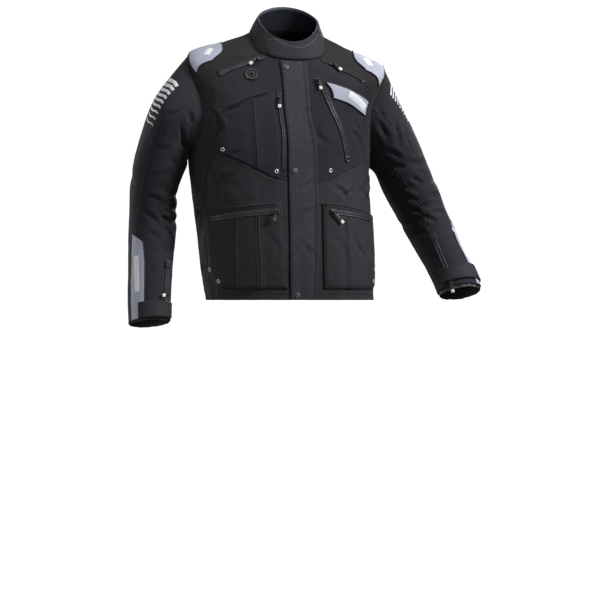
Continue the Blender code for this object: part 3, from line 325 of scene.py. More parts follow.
# degree, step, reach in degrees, half width in steps, slant in steps for each 90 degrees, depth
SLEEVE_FOLDS = {
    "right": (
        (230, 1.25, 60, 0.17, 0.45, -5),
        (225, 1.95, 65, 0.15, 0.30, -4),
        (215, 3.25, 70, 0.15, -0.30, -5),
        (225, 3.90, 75, 0.15, -0.15, -6),
        (220, 4.50, 70, 0.14, 0.20, -5),
        (120, 4.10, 70, 0.17, 0.20, -4),
        (30, 2.60, 60, 0.20, -0.40, -3),
        (240, 5.60, 50, 0.16, 0.30, -3),
    ),
    "left": (
        (235, 1.30, 60, 0.17, 0.55, -6),
        (240, 2.20, 65, 0.15, 0.35, -4),
        (245, 3.30, 75, 0.15, 0.30, -6),
        (235, 3.95, 75, 0.15, 0.10, -6),
        (240, 4.60, 65, 0.14, -0.15, -4),
        (130, 3.70, 70, 0.17, 0.25, -4),
        (320, 2.40, 55, 0.20, 0.50, -3),
    ),
}
# --- Creases placed one by one: from, to, half width and depth in mm, a trough below zero ---
BODY_CREASES = (
    ((-0.720, 2.73), (-0.550, 3.06), 5.0, -2.6),
    ((-0.643, 3.12), (-0.415, 3.58), 5.5, -3.2),
    ((-0.395, 2.60), (-0.275, 3.13), 6.0, -2.0),
    ((0.242, 3.36), (0.353, 2.79), 6.0, -2.0),
    ((0.302, 2.97), (0.425, 3.31), 5.0, -2.2),
    ((0.495, 3.29), (0.630, 2.78), 5.5, -2.8),
    ((-0.718, 1.75), (-0.550, 1.17), 6.0, -1.8),
    ((-0.292, 2.00), (-0.210, 1.01), 8.0, -0.8),
    ((-0.600, 2.05), (-0.528, 1.70), 5.0, -1.4),
    ((0.210, 1.93), (0.288, 0.90), 8.0, -0.8),
    ((0.400, 1.95), (0.545, 1.19), 6.5, -1.8),
    ((0.008, 3.12), (0.130, 3.46), 5.0, -1.6),
    ((-0.020, 1.67), (0.097, 1.32), 6.0, -1.4),
    ((0.040, 5.72), (0.150, 6.25), 6.0, -1.5),
    ((-0.018, 2.39), (0.113, 2.69), 5.0, -1.5),
    ((0.395, 5.37), (0.502, 4.46), 6.0, -2.4),
    ((0.462, 5.77), (0.528, 5.26), 5.0, -1.6),
    ((-0.638, 5.87), (-0.618, 4.23), 6.0, -2.6),
    ((-0.700, 5.54), (-0.670, 4.22), 5.0, -2.2),
    ((-0.677, 3.91), (-0.682, 2.75), 6.0, -2.2),
    ((-0.505, 5.62), (-0.355, 6.08), 6.5, -1.8),
    ((-0.510, 3.94), (-0.373, 4.30), 5.5, -2.0),
    ((0.180, 5.75), (0.255, 4.54), 7.0, -1.6),
    ((0.640, 5.60), (0.655, 4.40), 5.5, -2.4),
    ((0.760, 3.95), (0.900, 3.05), 6.5, -3.0),
    ((-0.790, 3.85), (-0.905, 2.95), 6.5, -3.0),
    ((0.905, 2.75), (1.080, 2.20), 6.0, -2.4),
    ((-0.930, 2.60), (-1.090, 2.10), 6.0, -2.4),
    ((0.930, 1.35), (1.120, 0.85), 6.5, -2.0),
    ((-0.940, 1.25), (-1.130, 0.80), 6.5, -2.0),
    # the hidden back, with the same kind of creases
    ((1.30, 4.10), (1.55, 3.55), 6.5, -3.2),
    ((1.28, 3.45), (1.48, 3.05), 5.5, -2.4),
    ((1.55, 5.60), (1.72, 4.60), 7.0, -2.0),
    ((1.62, 2.75), (1.88, 2.95), 6.5, -2.6),
    ((1.40, 2.10), (1.62, 1.70), 6.0, -2.2),
    ((1.90, 1.60), (2.10, 1.75), 7.0, -2.0),
    ((2.08, 2.70), (2.34, 2.45), 6.0, -2.6),
    ((2.26, 5.70), (2.40, 4.70), 7.0, -2.0),
    ((2.46, 3.60), (2.70, 4.15), 6.5, -3.2),
    ((2.50, 3.05), (2.72, 3.40), 5.5, -2.4),
    ((2.40, 1.75), (2.60, 2.20), 6.0, -2.0),
    ((1.86, 7.60), (2.14, 7.55), 8.0, -1.6),
    ((1.36, 0.90), (1.52, 0.55), 6.0, -1.6),
)
SLEEVE_CREASES = {
    "right": (
        ((250, 0.55), (281, 0.56), 6.5, -3.6),
        ((266, 0.05), (295, 0.20), 5.0, -2.2),
        ((217, 1.33), (270, 0.88), 6.0, -4.2),
        ((226, 4.19), (266, 4.04), 5.0, -3.4),
        ((223, 4.71), (270, 4.46), 5.0, -3.6),
        ((223, 5.20), (258, 4.91), 5.0, -2.8),
        ((259, 3.70), (299, 3.46), 5.5, -3.0),
        ((264, 4.88), (312, 4.03), 6.0, -2.6),
        ((260, 2.43), (296, 2.83), 6.0, -2.8),
        ((236, 5.84), (260, 5.39), 5.0, -2.4),
        ((261, 5.33), (297, 5.16), 5.5, -2.4),
        ((258, 5.68), (283, 5.84), 5.0, -1.8),
        ((281, 0.78), (297, 1.24), 6.0, -2.0),
        ((265, 1.65), (301, 1.89), 6.0, -2.8),
        ((236, 2.30), (262, 2.02), 6.0, -2.8),
        ((230, 3.42), (258, 3.20), 5.5, -3.0),
        ((268, 6.50), (286, 6.05), 6.0, -1.8),
        ((246, 6.55), (262, 6.90), 5.0, -1.4),
    ),
    "left": (
        ((240, 0.64), (260, 0.05), 6.0, -3.0),
        ((260, 0.68), (280, 0.26), 6.0, -3.2),
        ((243, 0.72), (259, 1.41), 6.0, -3.4),
        ((231, 1.30), (268, 1.62), 5.5, -3.6),
        ((206, 1.41), (240, 1.85), 5.5, -3.0),
        ((258, 1.51), (340, 1.93), 6.5, -3.4),
        ((262, 1.86), (287, 2.41), 5.5, -3.0),
        ((221, 2.10), (260, 2.98), 6.0, -3.6),
        ((214, 2.79), (260, 3.78), 6.0, -4.0),
        ((254, 3.84), (280, 4.63), 5.5, -3.0),
        ((284, 0.51), (300, 0.05), 5.5, -2.2),
        ((260, 1.07), (306, 0.54), 6.0, -2.6),
        ((284, 1.36), (303, 0.80), 5.5, -2.0),
        ((220, 4.29), (246, 5.04), 5.5, -3.0),
        ((294, 5.21), (342, 5.15), 6.0, -2.4),
        ((222, 5.50), (237, 6.25), 5.5, -2.2),
        ((282, 3.05), (330, 3.30), 7.0, -2.6),
        ((286, 4.10), (330, 4.25), 6.5, -2.4),
    ),
}
CREASING = 1.35  # all creases are this much deeper than their rows say
SHOULDERING = 0.55  # how high a crease's ridges stand, as a share of its depth
# a crease's ridges, in half widths from its middle: place, spread, and share of their full height
RIDGES = ((1.9, 1.3, 1.0), (-2.1, 1.5, 0.45))
CREASE_FADE = (0.3, 0.6)  # the shares of its length between which a crease has its full depth
CREASE_END = 0.65  # how wide a crease is at its ends, as a share of its width
BODY_BOW, SLEEVE_BOW = 0.06, 0.0006  # how far a crease bends aside, for its run in each coordinate
BEHIND = 355  # a sleeve's crease at a degree in front has another behind, at this less that degree
# where creases die out: beside an armhole as a share of its size, then in levels and in steps
CALM = {"armhole": 0.22, "neck": 0.4, "cap": 0.3, "cuff": 0.4}
FOLDS_DIE = {"neck": 2, "cap": 1, "cuff": 1.2}  # levels and steps over which the main folds do
RIPPLES = ((115, 0.75), (70, 0.45), (38, 0.22))  # wavelength and height of the cloth's unevenness


# --- Surfaces, as in the solids ---
def table(rows):
    return np.array(list(rows.values()), float)


def smooth_between(before, start, end, after, part):
    out_of, into = (end - before) / 2, (after - start) / 2
    return (
        start * (2 * part**3 - 3 * part**2 + 1)
        + out_of * (part**3 - 2 * part**2 + part)
        + end * (3 * part**2 - 2 * part**3)
        + into * (part**3 - part**2)
    )


def smooth_row(rows, at):
    """A table read between its rows along a smooth curve."""
    at = np.clip(np.asarray(at, float), 0, len(rows) - 1)
    first = np.minimum(at.astype(int), len(rows) - 2)
    before, after = np.maximum(first - 1, 0), np.minimum(first + 2, len(rows) - 1)
    return smooth_between(rows[before], rows[first], rows[first + 1], rows[after], (at - first)[..., None])


def ring_point(rings, turn, level):
    """Points of a surface through a table of rings."""
    turn, level = np.broadcast_arrays(np.asarray(turn, float), np.asarray(level, float))
    row = dict(zip(BODY_COLUMNS, np.moveaxis(smooth_row(table(rings), level), -1, 0)))
    angle = np.radians(90 * (turn - 1))
    across, through = np.cos(angle), np.sin(angle)
    square = row["square"]
    reach = (np.abs(across) ** square + np.abs(through) ** square) ** (-1 / square)
    ahead = through < 0
    x = row["half"] * across * reach
    y = np.where(ahead, row["front"], row["back"]) * through * reach
    drop = np.where(ahead, row["z_front"], row["z_back"]) - row["z_side"]
    fall = np.abs(through) ** DIP
    fall += row["brim"] * (1 - (1 - np.abs(through)) ** 2 - fall)
    z = row["z_side"] + drop * fall - row["lean"] * across * reach
    twist = np.radians(row["twist"])
    x, y = x * np.cos(twist) - y * np.sin(twist), x * np.sin(twist) + y * np.cos(twist)
    return np.stack([x + row["shift"], y, z], -1)


def body_middle(turn, level):
    return ring_point(BODY_RINGS, turn, level)


def armhole_reach(beside):
    return np.where(beside < 0, ARMHOLE["forward"], ARMHOLE["backward"])


def armhole(side, degree):
    """The turn and level of the armhole seam, 0 at its top and 270 in front."""
    rad = np.radians(degree)
    across = np.sin(rad)
    return side * (1 + armhole_reach(across) * across), ARMHOLE_MIDDLE + ARMHOLE_HALF * np.cos(rad)


def sleeve_middle(name, degree, step):
    """One sleeve's cloth without its folds, from the armhole seam down."""
    side = SIDES[name]
    degree, step = np.broadcast_arrays(np.asarray(degree, float), np.asarray(step, float))
    rad = np.radians(degree)
    rings = [body_middle(*armhole(side, degree))]
    for numbers in SLEEVES[name].values():
        row = dict(zip(SLEEVE_COLUMNS, numbers))
        lean, pitch = math.radians(row["lean"]), math.radians(row["pitch"])
        outwards = np.array([side * math.cos(lean), 0, math.sin(lean)])
        along = np.array([side * math.sin(lean), 0, -math.cos(lean)])
        backwards = np.array([0, math.cos(pitch), 0]) + along * math.sin(pitch)
        rings.append(
            np.array([side * row["x"], row["y"], row["z"]])
            + row["wide"] * np.cos(rad)[..., None] * outwards
            + row["deep"] * np.sin(rad)[..., None] * backwards
        )
    rings = np.stack(rings)
    step = np.clip(step, 0, STEPS)
    first = np.minimum(step.astype(int), STEPS - 1)

    def ring(number):
        return np.take_along_axis(rings, np.clip(number, 0, STEPS)[None, ..., None], 0)[0]

    return smooth_between(ring(first - 1), ring(first), ring(first + 1), ring(first + 2),
                          (step - first)[..., None])


def fold_height(folds, across, along, turn_over, slant_over):
    """How far the main folds move each place out. The first coordinate comes round at turn_over."""
    height = np.zeros(np.broadcast_shapes(np.shape(across), np.shape(along)))
    for at, where, reach, half, slant, depth in folds:
        beside = (across - at + turn_over / 2) % turn_over - turn_over / 2
        fade = np.clip(1 - (beside / reach) ** 2, 0, 1) ** 2
        off_line = along - where - slant * beside / slant_over
        height = height + depth * fade * np.exp(-((off_line / half) ** 2))
    return height


def unit(vectors):
    return vectors / np.linalg.norm(vectors, axis=-1, keepdims=True)


def normals(surface, across, along, steps, top):
    """Outward normals of a surface, from points just beside each point."""
    step_across, step_along = steps
    sideways = surface(across + step_across, along) - surface(across - step_across, along)
    lengthways = surface(across, np.minimum(along + step_along, top)) - surface(
        across, np.maximum(along - step_along, 0)
    )
    return unit(np.cross(sideways, lengthways))


# how far beside a point the points are that its normal comes from
BODY_STEPS = (0.004, 0.01)
SLEEVE_STEPS = (0.5, 0.01)


def body(turn, level):
    out = fold_height(BODY_FOLDS, turn, level, 4, 1)
    near_edge = np.clip((NECK - level) / FOLDS_DIE["neck"], 0, 1)
    away = normals(body_middle, turn, level, BODY_STEPS, NECK)
    return body_middle(turn, level) + away * (out * near_edge)[..., None]


def collar(turn, rise):
    return ring_point(COLLAR_RINGS, turn, rise)


def handed(name):
    """Turns a sleeve's normals outwards, because its degrees run the other way round on each side."""
    return -SIDES[name]


def sleeve(name, degree, step):
    """One sleeve's cloth with its main folds."""
    out = fold_height(SLEEVE_FOLDS[name], degree, step, 360, 90)
    near_edge = np.clip(step / FOLDS_DIE["cap"], 0, 1) * np.clip((STEPS - step) / FOLDS_DIE["cuff"], 0, 1)
    away = normals(partial(sleeve_middle, name), degree, step, SLEEVE_STEPS, STEPS) * handed(name)
    return sleeve_middle(name, degree, step) + away * (out * near_edge)[..., None]


def mitred(one, other):
    between = unit(one + other)
    return between / np.maximum((between * one).sum(-1, keepdims=True), MITRE)


def from_armhole(turn, level):
    """For each side, how far out of the armhole seam a place is: 0 on it, 1 at twice its size."""
    for name, side in SIDES.items():
        beside = (side * turn + 2) % 4 - 3
        across, up = beside / armhole_reach(beside), (level - ARMHOLE_MIDDLE) / ARMHOLE_HALF
        yield name, np.hypot(across, up) - 1, np.degrees(np.arctan2(across, up)) % 360


def body_normal(turn, level):
    """Normals of the body cloth, shared with the collar at the neck and the sleeves at the armholes."""
    turn, level = np.broadcast_arrays(np.asarray(turn, float), np.asarray(level, float))
    away = normals(body, turn, level, BODY_STEPS, NECK)
    at_neck = mitred(away, normals(collar, turn, 0 * turn, BODY_STEPS, 2))
    away = np.where((level > NECK - 1e-6)[..., None], at_neck, away)
    for name, beyond, degree in from_armhole(turn, level):
        on_seam = np.abs(beyond) < 1e-3
        if on_seam.any():
            at_sleeve = mitred(away, sleeve_face(name, degree, 0 * degree))
            away = np.where(on_seam[..., None], at_sleeve, away)
    return away


def sleeve_face(name, degree, step):
    """Outward normals of one sleeve's cloth."""
    return normals(partial(sleeve, name), degree, step, SLEEVE_STEPS, STEPS) * handed(name)


# --- Creases and unevenness ---
def soft_step(low, high, value):
    share = np.clip((value - low) / (high - low), 0, 1)
    return share * share * (3 - 2 * share)


def laid(surface, places):
    """A line or grid of places laid on a surface."""
    return surface(places[..., 0], places[..., 1])


def crease_lines(surface, creases, bow):
    """Each crease's line in space, bent a little to one side and then the other.

    A crease that would run off the cloth over its seam at 0 is left out.
    """
    lines = []
    for number, (start, end, half, depth) in enumerate(creases):
        share = np.linspace(0, 1, 10)[:, None]
        start, end = np.array(start, float), np.array(end, float)
        side = np.array([-(end - start)[1], (end - start)[0]]) * bow * (-1, 1)[number % 2]
        path = start + (end - start) * share + side * np.sin(share * math.pi) ** 2
        if path[:, 1].min() >= 0:
            lines.append((laid(surface, path), half, depth))
    return lines


def crease_height(lines, points, away):
    """How far the creases move each point: a trough between two soft ridges, the upper one higher."""
    height = np.zeros(points.shape[:-1])
    for line, half, depth in lines:
        middle, span = line.mean(0), np.linalg.norm(line[-1] - line[0])
        near = np.linalg.norm(points - middle, axis=-1) < span / 2 + 5 * half
        if not near.any():
            continue
        steps = np.diff(line, axis=0)
        offset = points[near][:, None] - line[None, :-1]
        part = np.clip((offset * steps).sum(-1) / (steps**2).sum(-1), 0, 1)
        gap = offset - part[..., None] * steps
        distance = np.linalg.norm(gap, axis=-1)
        nearest = distance.argmin(1)
        pick = np.arange(len(nearest))
        run = (nearest + part[pick, nearest]) / len(steps)
        side = np.sign((np.cross(away[near], steps[nearest]) * gap[pick, nearest]).sum(-1))
        upright = 1 if (line[-1] - line[0])[0] > 0 else -1
        fade = soft_step(0, CREASE_FADE[0], run) * soft_step(1, CREASE_FADE[1], run)
        wide = half * (CREASE_END + (1 - CREASE_END) * fade)
        across = side * upright * distance[pick, nearest] / wide
        profile = np.exp(-across**2)
        for place, spread, share in RIDGES:
            profile -= SHOULDERING * share * np.exp(-((across - place) ** 2) / spread)
        height[near] += depth * CREASING * fade * profile
    return height


def uneven(points, seed=7):
    """The slight unevenness of worn cloth, the same wherever two pieces meet."""
    dice = np.random.RandomState(seed)
    height = np.zeros(points.shape[:-1])
    for wavelength, tall in RIPPLES:
        for direction in unit(dice.normal(size=(3, 3))):
            phase = points @ direction * (2 * math.pi / wavelength) + dice.uniform(0, 6.3)
            height += tall / 1.8 * np.sin(phase + 0.8 * np.sin(phase * 0.61))
    return height


def hidden_creases(creases):
    """The same kind of creases on the back of a sleeve, in other places, lengths and depths."""
    dice = np.random.RandomState(3)
    found = []
    for (degree, step), (last_degree, last_step), half, depth in creases[::2]:
        shift, move = dice.uniform(-14, 14), dice.uniform(-0.3, 0.3)
        longer = dice.uniform(0.7, 1.3)
        start = BEHIND - degree + shift
        found.append(((start, step + move), (start + (degree - last_degree) * longer, last_step + move),
                      half * dice.uniform(0.9, 1.3), depth * dice.uniform(0.6, 1.0)))
    return tuple(found)


BODY_LINES = crease_lines(body, BODY_CREASES, BODY_BOW)
SLEEVE_LINES = {
    name: crease_lines(partial(sleeve, name), creases + hidden_creases(creases), SLEEVE_BOW)
    for name, creases in SLEEVE_CREASES.items()
}


def on_body(turn, level):
    """Points of the body cloth with every fold and crease, and the way out of it."""
    points, away = body(turn, level), body_normal(turn, level)
    clear = np.ones(points.shape[:-1])
    for _, beyond, _ in from_armhole(turn, level):
        clear = clear * soft_step(0, CALM["armhole"], np.abs(beyond))
    clear = clear * soft_step(NECK, NECK - CALM["neck"], level)
    height = crease_height(BODY_LINES, points, unit(away)) * clear + uneven(points)
    return points + unit(away) * height[..., None], away


def on_collar(turn, rise):
    """Points of the collar's cloth, and the way out of it. Its rise is 0 at the seam and 2 on top."""
    away = normals(collar, turn, rise, BODY_STEPS, 2)
    at_neck = mitred(away, normals(body, turn, 0 * rise + NECK, BODY_STEPS, NECK))
    points = collar(turn, rise)
    points = points + away * uneven(points)[..., None]
    return points, np.where((rise < 1e-6)[..., None], at_neck, away)


def on_sleeve(name):
    """One sleeve's cloth with every fold and crease, as on_body gives the body's."""
    def place(degree, step):
        away = sleeve_face(name, degree, step)
        turn, level = armhole(SIDES[name], degree)
        at_body = mitred(away, normals(body, turn, level, BODY_STEPS, NECK))
        away = np.where((step < 1e-6)[..., None], at_body, away)
        points = sleeve(name, degree, step)
        clear = soft_step(0, CALM["cap"], step) * soft_step(STEPS, STEPS - CALM["cuff"], step)
        height = crease_height(SLEEVE_LINES[name], points, unit(away)) * clear + uneven(points)
        return points + unit(away) * height[..., None], away

    return place


# --- Cutting: lines and grids on the cloth ---
def run_length(points):
    """How far along a line each of its points is."""
    return np.concatenate([[0], np.cumsum(np.linalg.norm(np.diff(points, axis=0), axis=1))])


def read_line(values, length, at):
    """What a line's values are at some lengths along it."""
    return np.stack([np.interp(at, length, column) for column in values.T], -1)


def line_length(line):
    in_degrees = np.abs(line[:, 0]).max() >= 10
    return run_length(line * (1 if in_degrees else TURN_LENGTH, LEVEL_LENGTH))


def curve(points, faces=200):
    """Points evenly along a smooth line through a few places."""
    points = np.array(points, float)
    fine = smooth_row(points, np.linspace(0, len(points) - 1, 40 * len(points)))
    length = run_length(fine * (TURN_LENGTH, LEVEL_LENGTH))
    return read_line(fine, length, np.linspace(0, length[-1], faces + 1))


def seam(name, side=1):
    own = SEAMS.get("right " + name, SEAMS[name]) if side < 0 else SEAMS[name]
    return curve(own) * (side, 1)


def arc(name, side, back=False):
    start, end = ARMHOLE_ARCS[name]
    line = np.stack(armhole(side, np.linspace(start, end, 200)), -1)
    return line[::-1] if back else line


def joined(*lines):
    return np.concatenate([lines[0]] + [line[1:] for line in lines[1:]])


def at_shares(line, at):
    length = line_length(line)
    return read_line(line, length, at * length[-1])


def shares(length, cell=CELL):
    """Where a piece's rows go: closer beside its two edges and even between them."""
    if length < 3 * NEAR_SEAM[-1]:
        return np.linspace(0, 1, max(2, round(length / NARROW_CELL)) + 1)
    beside = np.array((0, *NEAR_SEAM)) / length
    count = max(2, round((length - 2 * NEAR_SEAM[-1]) / cell))
    even = np.linspace(beside[-1], 1 - beside[-1], count + 1)
    return np.concatenate([beside[:-1], even, 1 - beside[-2::-1]])


def between(bottom, top, start, end):
    """A grid between four lines. Bottom and top run from the start line to the end line."""
    u, v = line_share(bottom)[None, :, None], line_share(start)[:, None, None]
    sides = (1 - v) * bottom + v * top + (1 - u) * start[:, None] + u * end[:, None]
    corners = (1 - v) * ((1 - u) * bottom[0] + u * bottom[-1]) + v * ((1 - u) * top[0] + u * top[-1])
    return sides - corners


def line_share(line):
    length = line_length(line)
    return length / length[-1]


def grid_of(across, along):
    """A grid of places from its columns and its rows."""
    return np.stack(np.broadcast_arrays(across, along[:, None]), -1)


def cut(bottom, top, start, end, cell=CELL):
    """A piece's grid between four lines, with closer rows beside its edges."""
    across = shares(max(line_length(bottom)[-1], line_length(top)[-1]), cell)
    along = shares(max(line_length(start)[-1], line_length(end)[-1]), cell)
    return between(at_shares(bottom, across), at_shares(top, across),
                   at_shares(start, along), at_shares(end, along))


# --- Sewing: how the cloth rises and dips beside its edges ---
def runs(points, axis):
    """Lengths along a grid's lines from their start."""
    steps = np.linalg.norm(np.diff(points, axis=axis), axis=-1)
    before = [(0, 0), (0, 0)]
    before[axis] = (1, 0)
    return np.pad(np.cumsum(steps, axis=axis), before)


def edge_gaps(points):
    """How far each point is from the start, end, bottom and top edges."""
    across, along = runs(points, 1), runs(points, 0)
    return {"start": across, "end": across[:, -1:] - across, "bottom": along, "top": along[-1:] - along}


# a seam's relief in mm: each part's depth or height, and how wide it is
GROOVE, GROOVE_WIDTH = 0.9, 1.5
ALLOWANCE, ALLOWANCE_WIDTH, ALLOWANCE_EDGE = 0.55, 8.5, 2.5
STITCH_DIP, STITCH_DIP_WIDTH, STITCH_INSET = 0.4, 1.0, 6.0
PUCKER, PUCKER_WIDTH, PUCKER_LENGTH = 0.35, 9, 9.5
PUCKER_DRIFT, DRIFT_LENGTH, PUCKER_TURN = 1.1, 31, 1.6  # puckers come at uneven distances


def seam_height(points, stitched, seed):
    """A seam's groove, the allowance raised beside it, the dip of its stitches and its puckers."""
    gaps = edge_gaps(points)
    dice = np.random.RandomState(seed)
    height = np.zeros(points.shape[:-1])
    for edge, gap in gaps.items():
        along = gaps["bottom" if edge in ("start", "end") else "start"]
        drift = PUCKER_DRIFT * np.sin(along / DRIFT_LENGTH + dice.uniform(0, 6))
        phase = along / PUCKER_LENGTH + drift + dice.uniform(0, 6)
        height -= GROOVE * np.exp(-((gap / GROOVE_WIDTH) ** 2))
        if edge in stitched:
            height += ALLOWANCE * soft_step(ALLOWANCE_WIDTH, ALLOWANCE_WIDTH - ALLOWANCE_EDGE, gap)
            height -= STITCH_DIP * np.exp(-(((gap - STITCH_INSET) / STITCH_DIP_WIDTH) ** 2))
            height += PUCKER * np.sin(phase * 2 * math.pi / PUCKER_TURN) * np.exp(-gap / PUCKER_WIDTH)
    return height


def inset_line(points, away, edge, inset):
    """The line on a laid grid that runs beside one of its edges, with the way out of the cloth."""
    both = np.concatenate([points, away], -1)
    lines = both if edge in ("start", "end") else both.swapaxes(0, 1)
    if edge in ("end", "top"):
        lines = lines[:, ::-1]
    found = np.array([read_line(line, run_length(line[:, :3]), inset) for line in lines])
    return found[:, :3], unit(found[:, 3:])


# --- Meshes ---
SHARP = math.radians(50)  # metal and plastic show an edge from this angle on


def link(name, data):
    """A new object in the scene."""
    made = bpy.data.objects.new(name, data)
    bpy.context.scene.collection.objects.link(made)
    return made


def keep(name, mesh_data, finish, hard=False):
    """An object from a bmesh that is already in its place, in metres."""
    mesh = bpy.data.meshes.new(name)
    mesh_data.to_mesh(mesh)
    mesh_data.free()
    mesh.materials.append(finish)
    mesh.shade_smooth()
    if hard:
        mesh.set_sharp_from_angle(angle=SHARP)
    return link(name, mesh)


def give_wall(piece, thickness):
    """Thickness given inwards from the outer face."""
    wall = piece.modifiers.new("wall", "SOLIDIFY")
    wall.thickness, wall.offset = thickness * MM, -1
    return wall


def half_cells(points):
    """The normal of each cell of a grid at its first corner, as long as the cell is large."""
    first = points[:-1, :-1]
    return np.cross(points[:-1, 1:] - first, points[1:, :-1] - first)


def inside_out(points, away):
    return (half_cells(points) * away[:-1, :-1]).sum() < 0


def sheet_mesh(name, points, away, thickness, finish, inner=None):
    """A sheet with the given outer face and thickness. Its UV map has the cloth's own metres."""
    rows, columns = points.shape[:2]
    flat = bmesh.new()
    bmesh.ops.create_grid(flat, x_segments=columns - 1, y_segments=rows - 1, size=0.5)
    piece = keep(name, flat, finish)
    mesh = piece.data
    at = np.zeros(len(mesh.vertices) * 3)
    mesh.vertices.foreach_get("co", at)
    at = (at.reshape(-1, 3)[:, :2] + 0.5) * (columns - 1, rows - 1)
    column, row = np.rint(at).astype(int).T
    mesh.vertices.foreach_set("co", (points[row, column] * MM).ravel())
    corner = np.zeros(len(mesh.loops), int)
    mesh.loops.foreach_get("vertex_index", corner)
    across, along = runs(points, 1), runs(points, 0)
    across = across - across[:, columns // 2][:, None]
    layer = mesh.uv_layers.new(name="cloth")
    layer.data.foreach_set("uv", (np.stack([across, along], -1)[row, column][corner] * MM).ravel())
    mesh.update()
    if inside_out(points, away):
        mesh.flip_normals()
    wall = give_wall(piece, thickness)
    if inner:
        mesh.materials.append(inner)
        wall.material_offset = 1
    return piece


def strips(name, grids, finish, thickness, on):
    """Small strips of cloth, print or cord, sewn on a sheet as one piece, from their outer points."""
    together = bmesh.new()
    for points, away in grids:
        last_row, last_column = points.shape[0] - 1, points.shape[1] - 1
        made = bmesh.ops.create_grid(together, x_segments=last_column, y_segments=last_row, size=0.5)["verts"]
        for vert in made:
            place = round((vert.co.y + 0.5) * last_row), round((vert.co.x + 0.5) * last_column)
            vert.co = points[place] * MM
        if inside_out(points, away):
            faces = {face for vert in made for face in vert.link_faces}
            bmesh.ops.reverse_faces(together, faces=list(faces))
    piece = keep(name, together, FINISHES[finish])
    if thickness:
        give_wall(piece, thickness)
    trim(piece, on)


# across a strip: share of its half width, and mm over its height
FLAT = ((-1.0, -0.35), (-0.85, 0.0), (0.85, 0.0), (1.0, -0.35))
ROUND = tuple((-math.cos(t), 0.9 * math.sin(t)) for t in np.linspace(0, math.pi, 7))
LIP = ((-1, -1.2), (-0.85, -0.2), (-0.4, 0.1), (0.4, 0.1), (0.85, -0.2), (1, -1.2))
COVER = ((-1, -1.6), (-0.9, -0.4), (-0.5, 0), (0.5, 0), (0.9, -0.4), (1, -1.6))
SLIT = (
    (-1, -0.8), (-0.85, -0.1), (-0.4, 0.3), (-0.19, 0.2), (-0.18, -0.9),
    (0.18, -0.9), (0.19, 0.2), (0.4, 0.3), (0.85, -0.1), (1, -0.8),
)
# half of a zip's tape, from its middle to its edge
HALF_TAPE = (
    (0.05, 0.2), (0.10, 0.35), (0.22, 0.15), (0.45, 0.0), (0.74, 0.1), (0.86, 0.45), (0.95, 0.1),
    (1.0, -0.9),
)
TAPE_PROFILE = (*((-share, rise) for share, rise in HALF_TAPE[::-1]), (0.0, -0.7), *HALF_TAPE)


def band(points, away, width, height, profile=FLAT):
    """A strip's points along a line on the cloth, with its width and height in mm."""
    along = unit(np.gradient(points, axis=0))
    beside = unit(np.cross(away, along))
    share, rise = np.array(profile, float).T
    half = np.broadcast_to(np.asarray(width, float) / 2, len(points))
    top = np.broadcast_to(np.asarray(height, float), len(points))
    grid = (points[:, None] + beside[:, None] * (half[:, None] * share)[..., None]
            + away[:, None] * (top[:, None] + rise)[..., None])
    return grid, np.broadcast_to(away[:, None], grid.shape)


def laid_line(place, path, faces=40):
    """Points and the way out along a smooth line on the cloth."""
    points, away = laid(place, curve(path, faces))
    return points, unit(away)


def spun(profile, steps, closed=True):
    """A shape turned about Z from its profile, radius and height in metres, closed or open."""
    blank = bmesh.new()
    line = [blank.verts.new((radius, 0, height)) for radius, height in profile]
    edges = [blank.edges.new(pair) for pair in zip(line, line[1:] + line[:1] * closed)]
    bmesh.ops.spin(blank, geom=line + edges, cent=(0, 0, 0), axis=(0, 0, 1), angle=2 * math.pi,
                   steps=steps, use_merge=True)
    bmesh.ops.remove_doubles(blank, verts=blank.verts, dist=0.001 * MM)
    return blank


def lathe(name, profile, place, finish, slot, on, steps=24, carve=None):
    """A round piece turned from its profile, radius and height in mm, and sewn on in a frame."""
    blank = spun(np.array(profile) * MM, steps)
    if carve:
        carve(blank)
    bmesh.ops.recalc_face_normals(blank, faces=blank.faces)
    bmesh.ops.transform(blank, matrix=place, verts=blank.verts)
    return trim(keep(name, blank, FINISHES[finish], hard=True), on)


def cut_size(points):
    """A cut's width and length laid flat, and its area, in metres."""
    halves = half_cells(points), half_cells(points[::-1, ::-1])
    area = sum(np.linalg.norm(half, axis=-1).sum() for half in halves) / 2
    length = runs(points, 0)[-1].max()
    width = max(runs(points, 1)[:, -1].max(), area / length * 1.001)
    return (width * MM, length * MM), area * MM * MM


SHEETS = []  # each sheet, its CAD node, flat size and area, how it is held and what it rests on
PIECES = {}  # the CAD node: its sheet's outer points and the way out of them
STITCHED = {}  # the CAD node: the lines of its stitches, each with the way out
TRIMS = {}  # the CAD node: what is sewn on its sheet


def mount(piece, body_name, node=None):
    """A piece joined to its body and the CAD node that it stands for."""
    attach(piece, body_name)
    if node:
        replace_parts(piece, node)
    return piece


def trim(piece, on):
    """A small piece sewn on a sheet."""
    TRIMS.setdefault(on, []).append(piece)
    return mount(piece, "jacket")


def sew(name, points, away, thickness, finish, held, rests_on, inner=None):
    """A sheet that stands for its CAD node."""
    piece = sheet_mesh(name + "_cloth", points, away, thickness, FINISHES[finish], inner)
    mount(piece, "jacket", name)
    SHEETS.append((piece, name, *cut_size(points), held, rests_on))
    PIECES[name] = points, unit(away)


def panel(name, place, grid, finish, stitched, rests_on, seed):
    """A panel of the shell with the relief of its seams."""
    points, away = laid(place, grid)
    relief = unit(away) * seam_height(points, stitched, seed)[..., None]
    points = points + away * (SHELL / 2) + relief
    STITCHED[name] = [inset_line(points, away, edge, STITCH_INSET) for edge in stitched]
    sew(name, points, away, SHELL, finish, "hung", (rests_on,), FINISHES["inside"])


